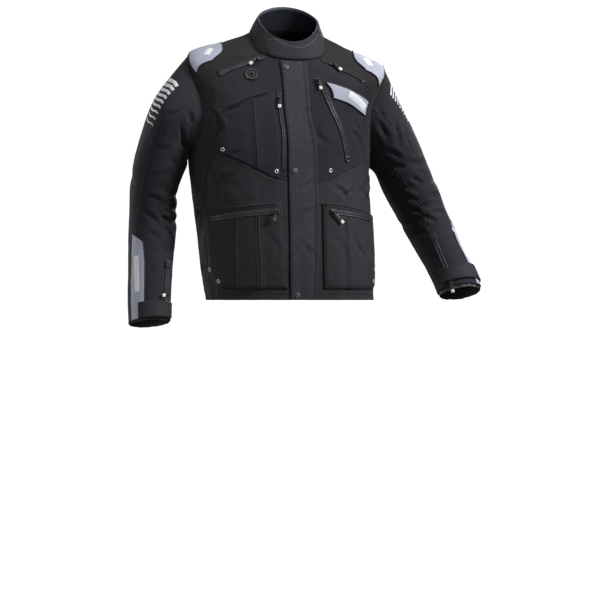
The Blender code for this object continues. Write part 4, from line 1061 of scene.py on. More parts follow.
TURNED_DOWN, TURN_WIDTH = 0.5, 1.1  # how far a laid piece's edge turns down, and over what width
LAID_SEAMS = 0.6  # how high a laid piece's seams are against a panel's


def overlay(name, place, grid, base, thickness, finish, slot, rests_on, raised=0.0, seed=1, stitched=()):
    """A piece that lies on a panel, made from the panel's points moved out, with a soft turned edge."""
    points, away = laid(place, grid)
    closest = np.minimum.reduce(list(edge_gaps(points).values()))
    height = base + thickness + raised - TURNED_DOWN * np.exp(-((closest / TURN_WIDTH) ** 2))
    if stitched:
        height = height + seam_height(points, stitched, seed) * LAID_SEAMS
    points = points + away * height[..., None]
    STITCHED[name] = [inset_line(points, away, edge, STITCH_INSET) for edge in stitched]
    sew(name, points, away, thickness + SEAT, finish, "laid", rests_on)


# --- Finishes ---
class Flow:
    """A number on its way through a finish's nodes. Arithmetic on it adds Math nodes."""

    def __init__(self, finish, socket):
        self.finish, self.socket = finish, socket

    def maths(self, operation, *values):
        return self.finish.node("Math", {"operation": operation}, dict(enumerate(values)))

    def __add__(self, other):
        return self.maths("ADD", self, other)

    def __radd__(self, other):
        return self.maths("ADD", other, self)

    def __sub__(self, other):
        return self.maths("SUBTRACT", self, other)

    def __rsub__(self, other):
        return self.maths("SUBTRACT", other, self)

    def __mul__(self, other):
        return self.maths("MULTIPLY", self, other)

    def __rmul__(self, other):
        return self.maths("MULTIPLY", other, self)

    def sine(self):
        return self.maths("SINE", self)

    def clamped(self):
        return self.maths("MINIMUM", self.maths("MAXIMUM", self, 0.0), 1.0)

    def greatest(self, other):
        return self.maths("MAXIMUM", self, other)


class Finish:
    """A material written as expressions. Constants are set on the shader's own sockets."""

    def __init__(self, name, colour, roughness, metallic=0.0, **constants):
        self.material = bpy.data.materials.new(name)
        self.material.use_nodes = True
        self.tree = self.material.node_tree
        self.shader = self.tree.nodes["Principled BSDF"]
        self.colour = (*colour, 1)
        self.set("Base Color", self.colour)
        self.set("Roughness", roughness)
        self.set("Metallic", metallic)
        for socket, value in constants.items():
            self.set(socket.replace("_", " "), value)

    def put(self, socket, value):
        if isinstance(value, Flow):
            self.tree.links.new(value.socket, socket)
        else:
            socket.default_value = value

    def set(self, socket, value):
        self.put(self.shader.inputs[socket], value)

    def node(self, kind, settings=None, sockets=None, output=0):
        made = self.tree.nodes.new("ShaderNode" + kind)
        for name, value in (settings or {}).items():
            setattr(made, name, value)
        for name, value in (sockets or {}).items():
            self.put(made.inputs[name], value)
        return Flow(self, made.outputs[output])

    def cloth_place(self):
        """The piece's own UV map in metres, as two numbers in millimetres."""
        uv = self.node("UVMap", {"uv_map": "cloth"})
        return tuple(self.node("SeparateXYZ", None, {0: uv}, k) * 1000 for k in (0, 1))

    def noise(self, size, detail=2.0, on_cloth=False):
        """Soft noise from 0 to 1 whose spots are about size mm across."""
        place = (self.node("UVMap", {"uv_map": "cloth"}) if on_cloth
                 else self.node("TexCoord", None, None, 3))
        return self.node("TexNoise", None, {"Vector": place, "Scale": 1000 / size, "Detail": detail})

    def tint(self, amount, light):
        """The colour multiplied towards a lighter or darker one by an amount from 0 to 1."""
        other = tuple(min(1, c * light) for c in self.colour[:3]) + (1,)
        self.set("Base Color", self.blend(amount, self.colour, other))

    def blend(self, amount, one, other):
        return self.node("Mix", {"data_type": "RGBA"}, {0: amount, 6: one, 7: other}, 2)

    def relief(self, height, depth):
        """Relief in mm from a height of 0 to 1."""
        bump = self.node("Bump", None, {"Height": height, "Distance": depth * MM, "Strength": 1.0})
        self.set("Normal", bump)


def weave(finish, pitch, row_pitch=None):
    """Over and under threads at a pitch in mm, and another for the rows: 0 to 1."""
    u, v = finish.cloth_place()
    warp, weft = (u * (math.pi / pitch)).sine(), (v * (math.pi / (row_pitch or pitch))).sine()
    return (warp * weft) * 0.5 + 0.5


def softshell_finish():
    finish = Finish("softshell", (0.0172, 0.0158, 0.0222), 0.82, Specular_IOR_Level=0.22,
                    Sheen_Weight=0.05, Sheen_Roughness=0.5)
    u, v = finish.cloth_place()
    rib = ((u + v) * (2 * math.pi / 1.7)).sine() * 0.5 + 0.5
    cloud = finish.noise(45, 3.0)
    lint = finish.noise(1.1, 1.0, on_cloth=True)
    fine = finish.noise(7, 3.0)
    finish.tint((cloud * 1.0 + fine * 0.7 + rib * 0.12 - 0.5).clamped(), 1.6)
    finish.set("Roughness", 0.76 + cloud * 0.12)
    finish.relief(rib * 0.12 + lint * 0.12 + finish.noise(16, 3.0), 0.55)
    return finish.material


def ripstop_finish(name, colour):
    finish = Finish(name, colour, 0.72, Specular_IOR_Level=0.3)
    u, v = finish.cloth_place()
    threads = weave(finish, 0.9)
    grid = [(((axis * (2 * math.pi / 5.4)).sine() - 0.94) * 16).clamped() for axis in (u, v)]
    cloud = finish.noise(60, 3.0)
    fine = finish.noise(6, 4.0)
    finish.tint((cloud * 0.9 + fine * 1.1 + threads * 0.25 - 0.65).clamped(), 1.8)
    finish.set("Roughness", 0.66 + cloud * 0.14)
    finish.relief(threads * 0.1 + grid[0].greatest(grid[1]) * 0.1 + finish.noise(14, 4.0), 0.9)
    return finish.material


def stretch_finish():
    finish = Finish("stretch", (0.0195, 0.0182, 0.0176), 0.85, Specular_IOR_Level=0.2,
                    Sheen_Weight=0.08, Sheen_Roughness=0.45)
    rib = weave(finish, 1.05, 0.7)
    cloud = finish.noise(50, 3.0)
    finish.tint((cloud * 0.9 + rib * 0.2 - 0.15).clamped(), 1.35)
    finish.relief(rib, 0.16)
    return finish.material


def lining_finish():
    finish = Finish("lining", (0.012, 0.013, 0.018), 0.9, Specular_IOR_Level=0.15)
    finish.tint(finish.noise(20, 3.0), 1.4)
    finish.relief(weave(finish, 1.6), 0.12)
    return finish.material


def inside_finish():
    finish = Finish("inside", (0.008, 0.008, 0.009), 0.9, Specular_IOR_Level=0.1)
    finish.relief(weave(finish, 2.4), 0.15)
    return finish.material


def light_finish():
    finish = Finish("light_cloth", (0.47, 0.49, 0.60), 0.6, Specular_IOR_Level=0.4)
    threads = weave(finish, 1.0)
    cloud = finish.noise(35, 3.0)
    finish.tint((cloud * 0.7 + threads * 0.3).clamped(), 0.86)
    finish.relief(threads, 0.08)
    return finish.material


def tape_finish():
    finish = Finish("zip_tape", (0.026, 0.031, 0.036), 0.46, Specular_IOR_Level=0.5)
    cloud = finish.noise(25, 2.0)
    finish.tint(cloud, 0.8)
    finish.set("Roughness", 0.36 + cloud * 0.14)
    finish.relief(finish.noise(0.8, 1.0, on_cloth=True), 0.04)
    return finish.material


def plain_finish(name, colour, roughness, metallic=0.0, grain=0.6, depth=0.03, **constants):
    """Moulded, painted or spun stuff: a little wear in its colour and gloss, and a fine grain."""
    finish = Finish(name, colour, roughness, metallic, **constants)
    wear = finish.noise(8, 3.0)
    finish.tint(wear, 1.25)
    finish.set("Roughness", roughness - 0.06 + wear * 0.12)
    finish.relief(finish.noise(grain, 2.0), depth)
    return finish.material


FINISHES = {
    "softshell": softshell_finish(),
    "ripstop": ripstop_finish("ripstop", (0.0178, 0.0178, 0.0222)),
    # the storm flap's ripstop: the same cloth painted lighter, standing in for the light and sheen on the
    # forward-facing flap
    "flap": ripstop_finish("ripstop_painted_lighter", (0.0258, 0.0258, 0.0318)),
    "stretch": stretch_finish(),
    "lining": lining_finish(),
    "inside": inside_finish(),
    "cuff": plain_finish("cuff_lining", (0.030, 0.030, 0.034), 0.5, grain=5.0, depth=1.2),
    "light": light_finish(),
    "tape": tape_finish(),
    "zip_edge": plain_finish("zip_edge", (0.050, 0.060, 0.068), 0.5, grain=0.7, depth=0.05),
    "binding": plain_finish("binding", (0.020, 0.020, 0.023), 0.75, grain=0.5, depth=0.06),
    "piping": plain_finish("piping", (0.060, 0.068, 0.090), 0.6, grain=0.7, depth=0.05),
    "facing": plain_finish("collar_facing", (0.075, 0.085, 0.115), 0.8, grain=0.7, depth=0.06),
    "print": plain_finish("white_print", (0.76, 0.77, 0.80), 0.5, grain=0.3, depth=0.02),
    "dark_tip": plain_finish("dark_pull_tip", (0.085, 0.09, 0.095), 0.45),
    "thread": plain_finish("thread", (0.028, 0.028, 0.032), 0.7, grain=0.3, depth=0.03),
    "reflective": plain_finish("reflective_print", (0.62, 0.64, 0.65), 0.38, grain=0.25, depth=0.02),
    "rubber": plain_finish("rubber", (0.030, 0.030, 0.033), 0.5, grain=0.5, depth=0.03),
    "snap": plain_finish("snap_metal", (0.075, 0.082, 0.098), 0.5, 0.2),
    "rim": plain_finish("snap_rim", (0.17, 0.18, 0.20), 0.42, 0.3),
    "slider": plain_finish("slider_metal", (0.045, 0.045, 0.05), 0.34, 0.8),
    "teeth": plain_finish("zip_teeth", (0.022, 0.022, 0.025), 0.4),
    "pull": plain_finish("pull_plastic", (0.022, 0.022, 0.025), 0.5),
    "tip": plain_finish("pull_tip", (0.80, 0.81, 0.83), 0.42),
    "eyelet": plain_finish("eyelet_metal", (0.62, 0.63, 0.65), 0.35, 0.35),
    # painted shade: a near-black finish for holes, grooves, gaps, slits and stitch lines, where only shade
    # falls
    "painted_shade": plain_finish("painted_shade_black", (0.004, 0.004, 0.005), 0.9),
}


# --- Shell ---
# each panel's finish, stitched edges, what carries it and the seed of its puckers
PANELS = {
    "front_lower": ("ripstop", ("top", "end", "bottom"), "front_upper_{}", 11),
    "front_upper": ("softshell", ("top", "end"), "collar", 21),
    "yoke_front": ("stretch", ("start", "end"), "collar", 31),
    "yoke_back": ("stretch", ("end",), "collar", 41),
    "side": ("stretch", ("start", "end", "bottom"), "yoke_front_{}", 51),
}


def panel_edges(side):
    """Each panel's bottom, top, start and end lines on one side of the body."""
    def line(name):
        return seam(name, side)

    front_edge = joined(line("strip"), line("welt"))
    return {
        "front_lower": (line("hem front"), line("cross"), line("centre front lower"), line("side front")),
        "front_upper": (line("cross"), line("neck front"), line("centre front upper"), front_edge),
        "yoke_front": (line("underarm front"), line("neck side"), front_edge,
                       joined(arc("front", side), line("shoulder"))),
        "yoke_back": (arc("back", side), line("neck back side"),
                      joined(arc("top", side, back=True), line("shoulder")), line("back yoke")),
        "side": (line("hem side"), joined(line("underarm front"), arc("underarm", side, back=True)),
                 line("side front"), line("side back")),
    }


def make_shell():
    for number, (name, side) in enumerate(SIDES.items()):
        for part, edges in panel_edges(side).items():
            finish, stitched, carrier, seed = PANELS[part]
            panel(f"{part}_{name}", on_body, cut(*edges), finish, stitched, carrier.format(name),
                  seed + number)
    left = joined(seam("side back"), arc("underarm back", 1, back=True), seam("back yoke"))
    hem, neck = seam("hem back"), seam("neck back")

    def on_right(line):
        return line * (-1, 1) + (4, 0)

    panel("back", on_body,
          cut(joined(hem, on_right(hem[-2::-1])), joined(neck, on_right(neck[-2::-1])), left, on_right(left)),
          "softshell", ("start", "end", "bottom"), "collar", 61)


SLEEVE_LENGTH = 600


def make_sleeves():
    """Each sleeve's three parts, between its long seam and the gusset's two seams."""
    steps = shares(SLEEVE_LENGTH) * STEPS
    row, front, back = np.array(GUSSET, float).T
    seam_step, long_seam = np.array(LONG_SEAM, float).T
    front, middle, back = (np.interp(steps, at, degree)[:, None]
                           for at, degree in ((row, front), (seam_step, long_seam), (row, back)))
    for number, name in enumerate(SIDES):
        for part, start, end, width, finish in (
            ("sleeve_outer", middle, back + 360, 230, "softshell"),
            ("sleeve_front", front, middle, 80, "softshell"),
            ("sleeve_gusset", back, front, 110, "stretch"),
        ):
            grid = grid_of(start + shares(width) * (end - start), steps)
            panel(f"{part}_{name}", on_sleeve(name), grid, finish, ("start", "end", "top"),
                  f"yoke_front_{name}", 71 + number)


COLLAR_CELL, TAB_CELL = 4.0, 3.0
COLLAR_LENGTH, COLLAR_HEIGHT, LINING_HEIGHT = 520, 60, 50  # about, in mm
LINING_START, LINING_RISE = 0.3, 1.64  # where the lining starts on the collar, and how far it goes up
NECK_DIP, NECK_DIP_WIDTH = 0.8, 1.5  # the collar dips into its neck seam
IN_COLLAR = DOUBLE / 2 + LIFT + LINING


def make_collar():
    """The stand collar, its lining and the tab that closes it over the throat."""
    turns = shares(COLLAR_LENGTH, COLLAR_CELL) * 4
    points, away = laid(on_collar, grid_of(turns, shares(COLLAR_HEIGHT, COLLAR_CELL) * 2))
    dip = NECK_DIP * np.exp(-((edge_gaps(points)["bottom"] / NECK_DIP_WIDTH) ** 2))
    sew("collar", points + away * (DOUBLE / 2 - dip)[..., None], away, DOUBLE, "ripstop",
        "stretched", ("front_upper_left", "front_upper_right"))
    rises = LINING_START + shares(LINING_HEIGHT, COLLAR_CELL) * LINING_RISE
    points, away = laid(on_collar, grid_of(turns, rises))
    sew("collar_lining", points - away * IN_COLLAR, -away, LINING, "lining", "laid", ("collar",))
    turn, lower, upper = np.array(TAB, float).T
    across = shares(240, TAB_CELL)
    low, high = (at_shares(curve(np.stack([turn, edge], -1)), across) for edge in (lower, upper))
    share = shares(36, TAB_CELL)[:, None, None]
    overlay("collar_tab", on_collar, low * (1 - share) + high * share, DOUBLE / 2 + LIFT, DOUBLE,
            "ripstop", "ripstop", ("collar",), stitched=("top",))


def make_storm_flap():
    rows = shares(640) * (len(FLAP) - 1)
    level, right, left = smooth_row(np.array(FLAP, float), rows).T
    share = shares(70, 4.0)
    grid = grid_of(right[:, None] * (1 - share) + left[:, None] * share, level)
    # the flap's ripstop is painted lighter, as painted light
    overlay("storm_flap", on_body, grid, ON_SHELL, DOUBLE, "flap", "ripstop",
            ("front_upper_left", "front_upper_right", "front_lower_left", "front_lower_right"),
            stitched=("end", "start"), seed=81)


# --- Pockets, patches and straps ---
CHEST_PLEAT_RISE, LOWER_PLEAT_RISE = 0.5, 0.4  # how much of a pleat's height the cloth itself rises
CHEST_PLEAT_END = 0.12  # the pleat flattens over this share of the pocket, below its top
LOWER_PLEAT_END = (0.76, 0.66)  # and a lower pocket's between these shares of its height
PLEAT_EDGE = 0.72  # a pleat is flat within this share of its half width
PILLOW, PILLOW_WIDTH = 2.3, 11  # how far a lower pocket's edges drop, and over what width


def bumps(across, pleats):
    """Box pleats: flat on top, with soft sloping sides."""
    raised = np.zeros(np.shape(across))
    for at, half, height in pleats:
        off = np.abs(np.abs(across) - at) / half
        raised = np.maximum(raised, height * soft_step(1.0, PLEAT_EDGE, off))
    return raised


def laid_cut(bottom, top, start=None, end=None):
    """A laid piece's grid between its edges. A start or end that isn't given is straight."""
    bottom, top = curve(bottom), curve(top)
    start, end = curve(start or (bottom[0], top[0])), curve(end or (bottom[-1], top[-1]))
    return cut(bottom, top, start, end, LAID_CELL)


def pocket_cut(side, pocket):
    """A pocket's grid, the distances from its edges, and how far up it each place is, from 0 to 1."""
    grid = laid_cut(pocket["bottom"], pocket["top"], end=pocket.get("outer")) * (side, 1)
    gaps = edge_gaps(laid(on_body, grid)[0])
    return grid, gaps, gaps["bottom"] / (gaps["bottom"] + gaps["top"])


def make_pockets():
    grid, _, up = pocket_cut(-1, CHEST_POCKET)
    raised = bumps(grid[..., 0], CHEST_PLEATS) * soft_step(0, CHEST_PLEAT_END, 1 - up) * CHEST_PLEAT_RISE
    overlay("chest_pocket_right", on_body, grid, ON_SHELL, SHELL, "softshell", "softshell",
            ("front_upper_right",), raised, stitched=("start", "top"), seed=91)
    for name, side in SIDES.items():
        grid, gaps, up = pocket_cut(side, LOWER_POCKET)
        raised = bumps(grid[..., 0], POCKET_PLEATS[name]) * soft_step(*LOWER_PLEAT_END, up) * LOWER_PLEAT_RISE
        closest = np.minimum.reduce([gaps["start"], gaps["end"], gaps["bottom"]])
        raised -= PILLOW * soft_step(PILLOW_WIDTH, 0, closest)
        overlay(f"pocket_{name}", on_body, grid, ON_CURVE, POCKET_DEPTH, "ripstop", "ripstop",
                (f"front_lower_{name}",), raised, stitched=("start", "end", "top", "bottom"), seed=95)


def make_patches():
    patch = {"thickness": PATCH, "finish": "light", "slot": "light_cloth"}
    overlay("chest_patch_left", on_body, laid_cut(CHEST_PATCH["lower"], CHEST_PATCH["upper"]), ON_CURVE,
            rests_on=("front_upper_left",), **patch)
    for name, side in SIDES.items():
        grid = laid_cut(SHOULDER_PATCH["lower"], SHOULDER_PATCH["upper"]) * (side, 1)
        overlay(f"shoulder_patch_{name}", on_body, grid, ON_CURVE,
                rests_on=(f"yoke_front_{name}", f"yoke_back_{name}"), **patch)
        edges = FOREARM_PATCH[name]
        overlay(f"forearm_patch_{name}", on_sleeve(name),
                laid_cut(edges["top"], edges["bottom"], edges["inner"]), ON_SHELL,
                rests_on=(f"sleeve_front_{name}", f"sleeve_outer_{name}"), **patch)
        overlay(f"cuff_strap_{name}", on_sleeve(name),
                laid_cut(CUFF_STRAP[name]["lower"], CUFF_STRAP[name]["upper"]), ON_TAPE, DOUBLE,
                "ripstop", "ripstop", (f"sleeve_front_{name}", f"zip_cuff_{name}"),
                stitched=("bottom", "top"))


# --- Zips ---
def zip_place(lies):
    return on_sleeve(lies.split()[1]) if lies.startswith("sleeve") else on_body


def zip_base(lies):
    return ON_POCKET if lies == "pocket" else ON_SHELL


def zip_run(name, faces=80):
    """A zip's row, and its line on the cloth: points, the way out, along and across it."""
    row = dict(zip(ZIP_COLUMNS, ZIPS[name]))
    points, away = laid_line(zip_place(row["lies"]), row["path"], faces)
    along = unit(np.gradient(points, axis=0))
    return row, points, away, along, unit(np.cross(away, along))


CARRIERS = {"body": "front_upper_", "pocket": "pocket_", "sleeve": "sleeve_front_"}


def make_zip_tapes():
    share, height = np.array(TAPE_PROFILE, float).T
    for name in ZIPS:
        row, points, away, _, beside = zip_run(name)
        across = points[:, None] + beside[:, None] * (share * row["width"] / 2)[None, :, None]
        top = zip_base(row["lies"]) + TAPE_FACE + height
        grid = across + away[:, None] * top[None, :, None]
        carrier = CARRIERS[row["lies"].split()[0]] + name.split("_")[1]
        sew(f"zip_{name}", grid, np.broadcast_to(away[:, None], grid.shape), TAPE_CLOTH, "tape",
            "laid", (carrier,))


def frame_on(surface, across, along, height, heading=0.0):
    """A frame on the cloth: Z out of it, Y up it, turned so that -Y points along the heading."""
    point, away = surface(np.array([float(across)]), np.array([float(along)]))
    point, away = Vector(point[0]), Vector(unit(away)[0])
    up = Vector((0, 0, 1))
    up = (up - away * up.dot(away)).normalized()
    right = up.cross(away)
    angle = math.radians(heading)
    right, up = (right * math.cos(angle) + up * math.sin(angle),
                 up * math.cos(angle) - right * math.sin(angle))
    found = Matrix((right, up, away)).transposed().to_4x4()
    found.translation = (point + away * height) * MM
    return found


def solid_place(lies):
    """The solids' own cloth, without the fine creases, where sliders and pulls are fixed."""
    if lies.startswith("sleeve"):
        name = lies.split()[1]
        return lambda degree, step: (sleeve(name, degree, step), sleeve_face(name, degree, step))
    return lambda turn, level: (body(turn, level), body_normal(turn, level))


def bevelled(mesh, edges, width, segments):
    bmesh.ops.bevel(mesh, geom=edges, offset=width * MM, segments=segments, profile=0.5, affect="EDGES",
                    material=-1, clamp_overlap=True)


def carried(node, part, body_name, finish, bevel):
    """A copy of a CAD node's mesh with softened edges, in the node's place."""
    copy = bmesh.new()
    copy.from_mesh(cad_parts[node].data)
    bmesh.ops.remove_doubles(copy, verts=copy.verts, dist=0.01 * MM)
    bmesh.ops.dissolve_limit(copy, angle_limit=math.radians(2), verts=copy.verts, edges=copy.edges)
    bevelled(copy, [edge for edge in copy.edges if len(edge.link_faces) == 2
                    and edge.calc_face_angle(0) > math.radians(35)], bevel, 2)
    mount(keep(f"{node}_{part}", copy, FINISHES[finish], hard=True), body_name, node)


def pull_frame(name):
    """The frame a pull turns in: its X is the slider's bar and -Y runs down the pull."""
    row = dict(zip(ZIP_COLUMNS, ZIPS[name]))
    place = smooth_row(curve(row["path"], ZIP_FACES), row["slider"] * ZIP_FACES)
    found = frame_on(solid_place(row["lies"]), *place, zip_base(row["lies"]) + TAPE + 0.3, row["heading"])
    hinge = found @ Matrix.Translation((0, 0, (PLATE_HEIGHT + ARCH_RISE + ARCH_BAR / 2) * MM))
    plumb = math.atan2(hinge[2][2], hinge[2][1])
    return hinge @ Matrix.Rotation(min(math.radians(PULL_TILT), plumb), 4, "X"), row["pull"]


def make_sliders_and_pulls():
    for name in ZIPS:
        body_name = name.replace("_", "_pull_")
        carried(f"slider_{name}", "metal", "jacket", "slider", 0.35)
        carried(f"pull_{name}", "grip", body_name, "pull", 0.3)
        place, length = pull_frame(name)
        tip = bmesh.new()
        bmesh.ops.create_cube(tip, size=1)
        bmesh.ops.scale(tip, verts=tip.verts, vec=(TIP_WIDTH * MM, TIP_LENGTH * MM, TIP_HEIGHT * MM))
        bevelled(tip, tip.edges[:], TIP_ROUND, 3)
        bmesh.ops.translate(tip, verts=tip.verts, vec=(0, -(length - TIP_LENGTH / 2 + TIP_PAST) * MM, 0))
        bmesh.ops.transform(tip, matrix=place, verts=tip.verts)
        finish = FINISHES["dark_tip" if name == "pocket_right" else "tip"]
        mount(keep(f"pull_{name}_tip", tip, finish, hard=True), body_name)


# --- Turned pieces: each profile is radius and height in mm ---
SNAP_PARTS = (
    ("cap", "snap", ((0, 0), (5.3, 0), (5.3, 1.9), (4.6, 2.4), (2.6, 2.7), (0, 2.8))),
    ("rim", "rim", ((5.9, 0), (7.4, 0), (7.5, 1.4), (7.1, 2.2), (6.5, 2.4), (6.0, 1.9))),
    # the groove: a near-black disc of painted shade that shows between the cap and its rim
    ("groove", "painted_shade", ((0, -0.5), (6.6, -0.5), (6.6, 0.8), (0, 0.8))),
)
ROSETTE = (
    (4, 0), (16.5, 0), (16.4, 1.8), (15.4, 2.9), (13.6, 3.0), (12.8, 2.6), (10, 2.6), (7, 2.6), (6, 3.0),
    (4.6, 3.0), (4, 2.2),
)
# the near-black disc of painted shade in the port's hole
ROSETTE_HOLE = ((0, 0), (4.2, 0), (4.2, 0.5), (0, 0.5))
SLOT_RING, SLOT_PITCH, SLOT_ANGLE, SLOT_DEPTH = (6.5, 13), 30, 11, 1.8  # the rosette's slots
EYELET = ((2.7, -0.6), (5.2, -0.6), (5.3, 0.3), (4.7, 0.9), (3.8, 1.1), (2.9, 0.7))
# the near-black disc of painted shade in each eyelet's hole
EYELET_HOLE = ((0, -0.6), (3.0, -0.6), (3.0, 0.3), (0, 0.3))
ZIP_END = ((3.6, 0), (8.0, 0), (8.0, 1.6), (7.0, 2.3), (4.6, 2.3), (3.6, 1.6))


def make_snaps():
    """Caps with a bright rim round a groove that is a near-black disc of painted shade."""
    for name, place in SNAPS.items():
        seat = frame_on(on_body, *place, FACE["storm"])
        for part, finish, profile in SNAP_PARTS:
            piece = lathe(f"snap_{name}_{part}", profile, seat, finish, "snap_metal", "storm_flap")
            if part == "cap":
                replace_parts(piece, f"snap_{name}")


def slots(blank):
    """Radial slots all round the cable port."""
    inner, outer = SLOT_RING
    for vert in blank.verts:
        radius = math.hypot(vert.co.x, vert.co.y) / MM
        turn = math.degrees(math.atan2(vert.co.y, vert.co.x)) % SLOT_PITCH
        if inner < radius < outer and turn < SLOT_ANGLE and vert.co.z > MM:
            vert.co.z -= SLOT_DEPTH * MM


def make_port():
    seat = frame_on(on_body, *PORT, FACE["front"])
    on = ("rubber", "front_upper_right")
    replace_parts(lathe("cable_port_rosette", ROSETTE, seat, "rubber", *on, 72, slots), "cable_port")
    # a near-black disc of painted shade in the port's hole
    lathe("cable_port_hole", ROSETTE_HOLE, seat, "painted_shade", *on)


def make_eyelets():
    for number, (on, turn, level) in enumerate(EYELETS):
        seat = frame_on(on_body, turn, level, FACE[on.split("_")[0]])
        lathe(f"eyelet_{number}", EYELET, seat, "eyelet", "snap_metal", on)
        # a near-black disc of painted shade in the eyelet's hole
        lathe(f"painted_shade_black_{number}", EYELET_HOLE, seat, "painted_shade", "snap_metal", on)


# --- Strips: bars, blocks, bindings, welts and lines ---
ALL_ROUND = np.linspace(0, 4, 160)  # turns
COLLAR_RIM, FACING_RISE = 1.985, 1.86  # how far up the collar its piping and its facing are
RIM_DROP = 1.2


def make_bars():
    """Reflective bars hooked down at their inner ends, thinner downwards, and the piping below them."""
    run = np.linspace(0, 1, 22)
    drop = BAR_HOOK * soft_step(HOOK_START, 1, run) + BAR_BOW * np.sin(math.pi * run)
    for name in SIDES:
        ends, (first, last) = np.array(BARS[name], float), BAR_WIDTHS[name]
        grids = []
        for share in np.linspace(0, 1, BAR_COUNT):
            out_end, in_end = ends[:2] + (ends[2:] - ends[:2]) * share
            path = out_end + (in_end - out_end) * run[:, None]
            path[:, 1] += drop
            points, away = laid(on_sleeve(name), path)
            width = (first + (last - first) * share) * (1 - BAR_TAPER * run)
            grids.append(band(points, unit(away), width, SHELL / 2 + 0.35))
        strips(f"bars_{name}", grids, "reflective", 0.4, f"sleeve_outer_{name}")
        line = band(*laid_line(on_sleeve(name), PIPING[name]), 1.8, SHELL / 2 + 0.2, ROUND)
        strips(f"sleeve_piping_{name}", [line], "piping", 0, f"sleeve_outer_{name}")


def make_blocks():
    """Plain light blocks printed on the patches."""
    for number, (on, start, end, width) in enumerate(BLOCKS):
        on_arm = on.startswith("forearm")
        line = laid_line(on_sleeve(on.split("_")[-1]) if on_arm else on_body, (start, end))
        height = (ON_SHELL if on_arm else ON_CURVE) + PATCH + 0.25
        strips(f"block_{number}", [band(*line, width, height)], "print", 0.3, on)


def edge_line(grid, edge, inside=0):
    """A grid's edge, or the line some cells inside it."""
    near = inside if edge in ("start", "bottom") else -1 - inside
    return grid[:, near] if edge in ("start", "end") else grid[near]


def make_bindings():
    """Narrow dark binding round the light patches, and piping on the collar tab's edges."""
    for name, grids in PIECES.items():
        if "patch" in name:
            lines = [band(*(edge_line(grid, edge) for grid in grids), 2.6, 0.15, ROUND)
                     for edge in ("bottom", "top", "start", "end")]
            strips(f"{name}_binding", lines, "binding", 0, name)
    lines = [band(*(edge_line(grid, edge) for grid in PIECES["collar_tab"]), 2.2, 0.1, ROUND)
             for edge in ("top", "start")]
    strips("collar_tab_piping", lines, "piping", 0, "collar_tab")


def make_collar_edges():
    """Piping round the collar's top, and the facing below it inside."""
    points, away = on_collar(ALL_ROUND, COLLAR_RIM + 0 * ALL_ROUND)
    away = unit(away)
    rim = unit(np.cross(np.gradient(points, axis=0), away))
    rim *= np.sign(rim[:, 2:])
    strips("collar_piping", [band(points - away * RIM_DROP, rim, 3.0, 0.0, ROUND)], "piping", 0,
           "collar")
    facing = on_collar(ALL_ROUND, FACING_RISE + 0 * ALL_ROUND)[0] - away * IN_COLLAR
    strips("collar_facing", [band(facing, -away, 8.0, 0.2)], "facing", 0.2, "collar_lining")


# how high the outer face of each laid piece is over the cloth beside it, its shadow's width, and the
# edges that have one
SHADES = {
    "storm_flap": (3.6, 4.2, "start"),
    "chest_pocket_right": (2.6, 1.9, "bottom"),
    "pocket_right": (3.2, 2.2, "start end bottom"),
    "pocket_left": (3.2, 2.2, "start end bottom"),
    "collar_tab": (3.6, 1.9, "start bottom top"),
    "cuff_strap_right": (6.3, 1.9, "start end bottom top"),
    "cuff_strap_left": (6.3, 1.9, "start end bottom top"),
    "zip_chest_left": (1.7, 1.9, "start end"),
    "zip_chest_right": (1.7, 1.9, "start end"),
}
SHADE_RISE, SHADE_UNDER = 0.9, 0.8  # how far a strip of painted shadow stands over the cloth, and reaches in


def make_shades():
    """Narrow near-black strips of painted shadow beside the edges of what lies on the panels."""
    for name, (drop, width, edges) in SHADES.items():
        points, away = PIECES[name]
        grids = []
        for edge in edges.split():
            line, out = edge_line(points, edge), edge_line(away, edge)
            beside = line - edge_line(points, edge, 2)
            beside = unit(beside - out * (beside * out).sum(-1, keepdims=True))
            grid = np.stack([line + beside * wide - out * (drop - SHADE_RISE)
                             for wide in (-SHADE_UNDER, width / 3, width)], 1)
            grids.append((grid, np.broadcast_to(out[:, None], grid.shape)))
        strips(f"{name}_painted_shadow", grids, "painted_shade", 0.2, name)


# a slit's lips, and the near-black strip of painted shade laid in the slit
PLEAT_WIDTH, PLEAT_HEIGHT, SLIT_WIDTH, SLIT_HEIGHT = 13, 1.2, 2.6, 0.95


def make_welts():
    """Raised welts and hems, the slits between pleats, and near-black strips of painted shade in those slits
    and in the gaps under turned edges.
    """
    rows = [("welt", *row, LIP) for row in WELTS] + [("gap", *row, FLAT) for row in PAINTED_SHADE_GAPS]
    rows += [("pleat", *row, PLEAT_WIDTH, PLEAT_HEIGHT, SLIT) for row in SLITS]
    rows += [("slit", *row, SLIT_WIDTH, SLIT_HEIGHT, FLAT) for row in SLITS]
    for number, (kind, on, path, width, height, profile) in enumerate(rows):
        cloth = "ripstop" if on.startswith("pocket") else "softshell"
        grid = band(*laid_line(on_body, path, 60), width, FACE[on.split("_")[0]] + height, profile)
        strips(f"{kind}_{number}", [grid], "painted_shade" if kind in ("gap", "slit") else cloth, 0.6, on)


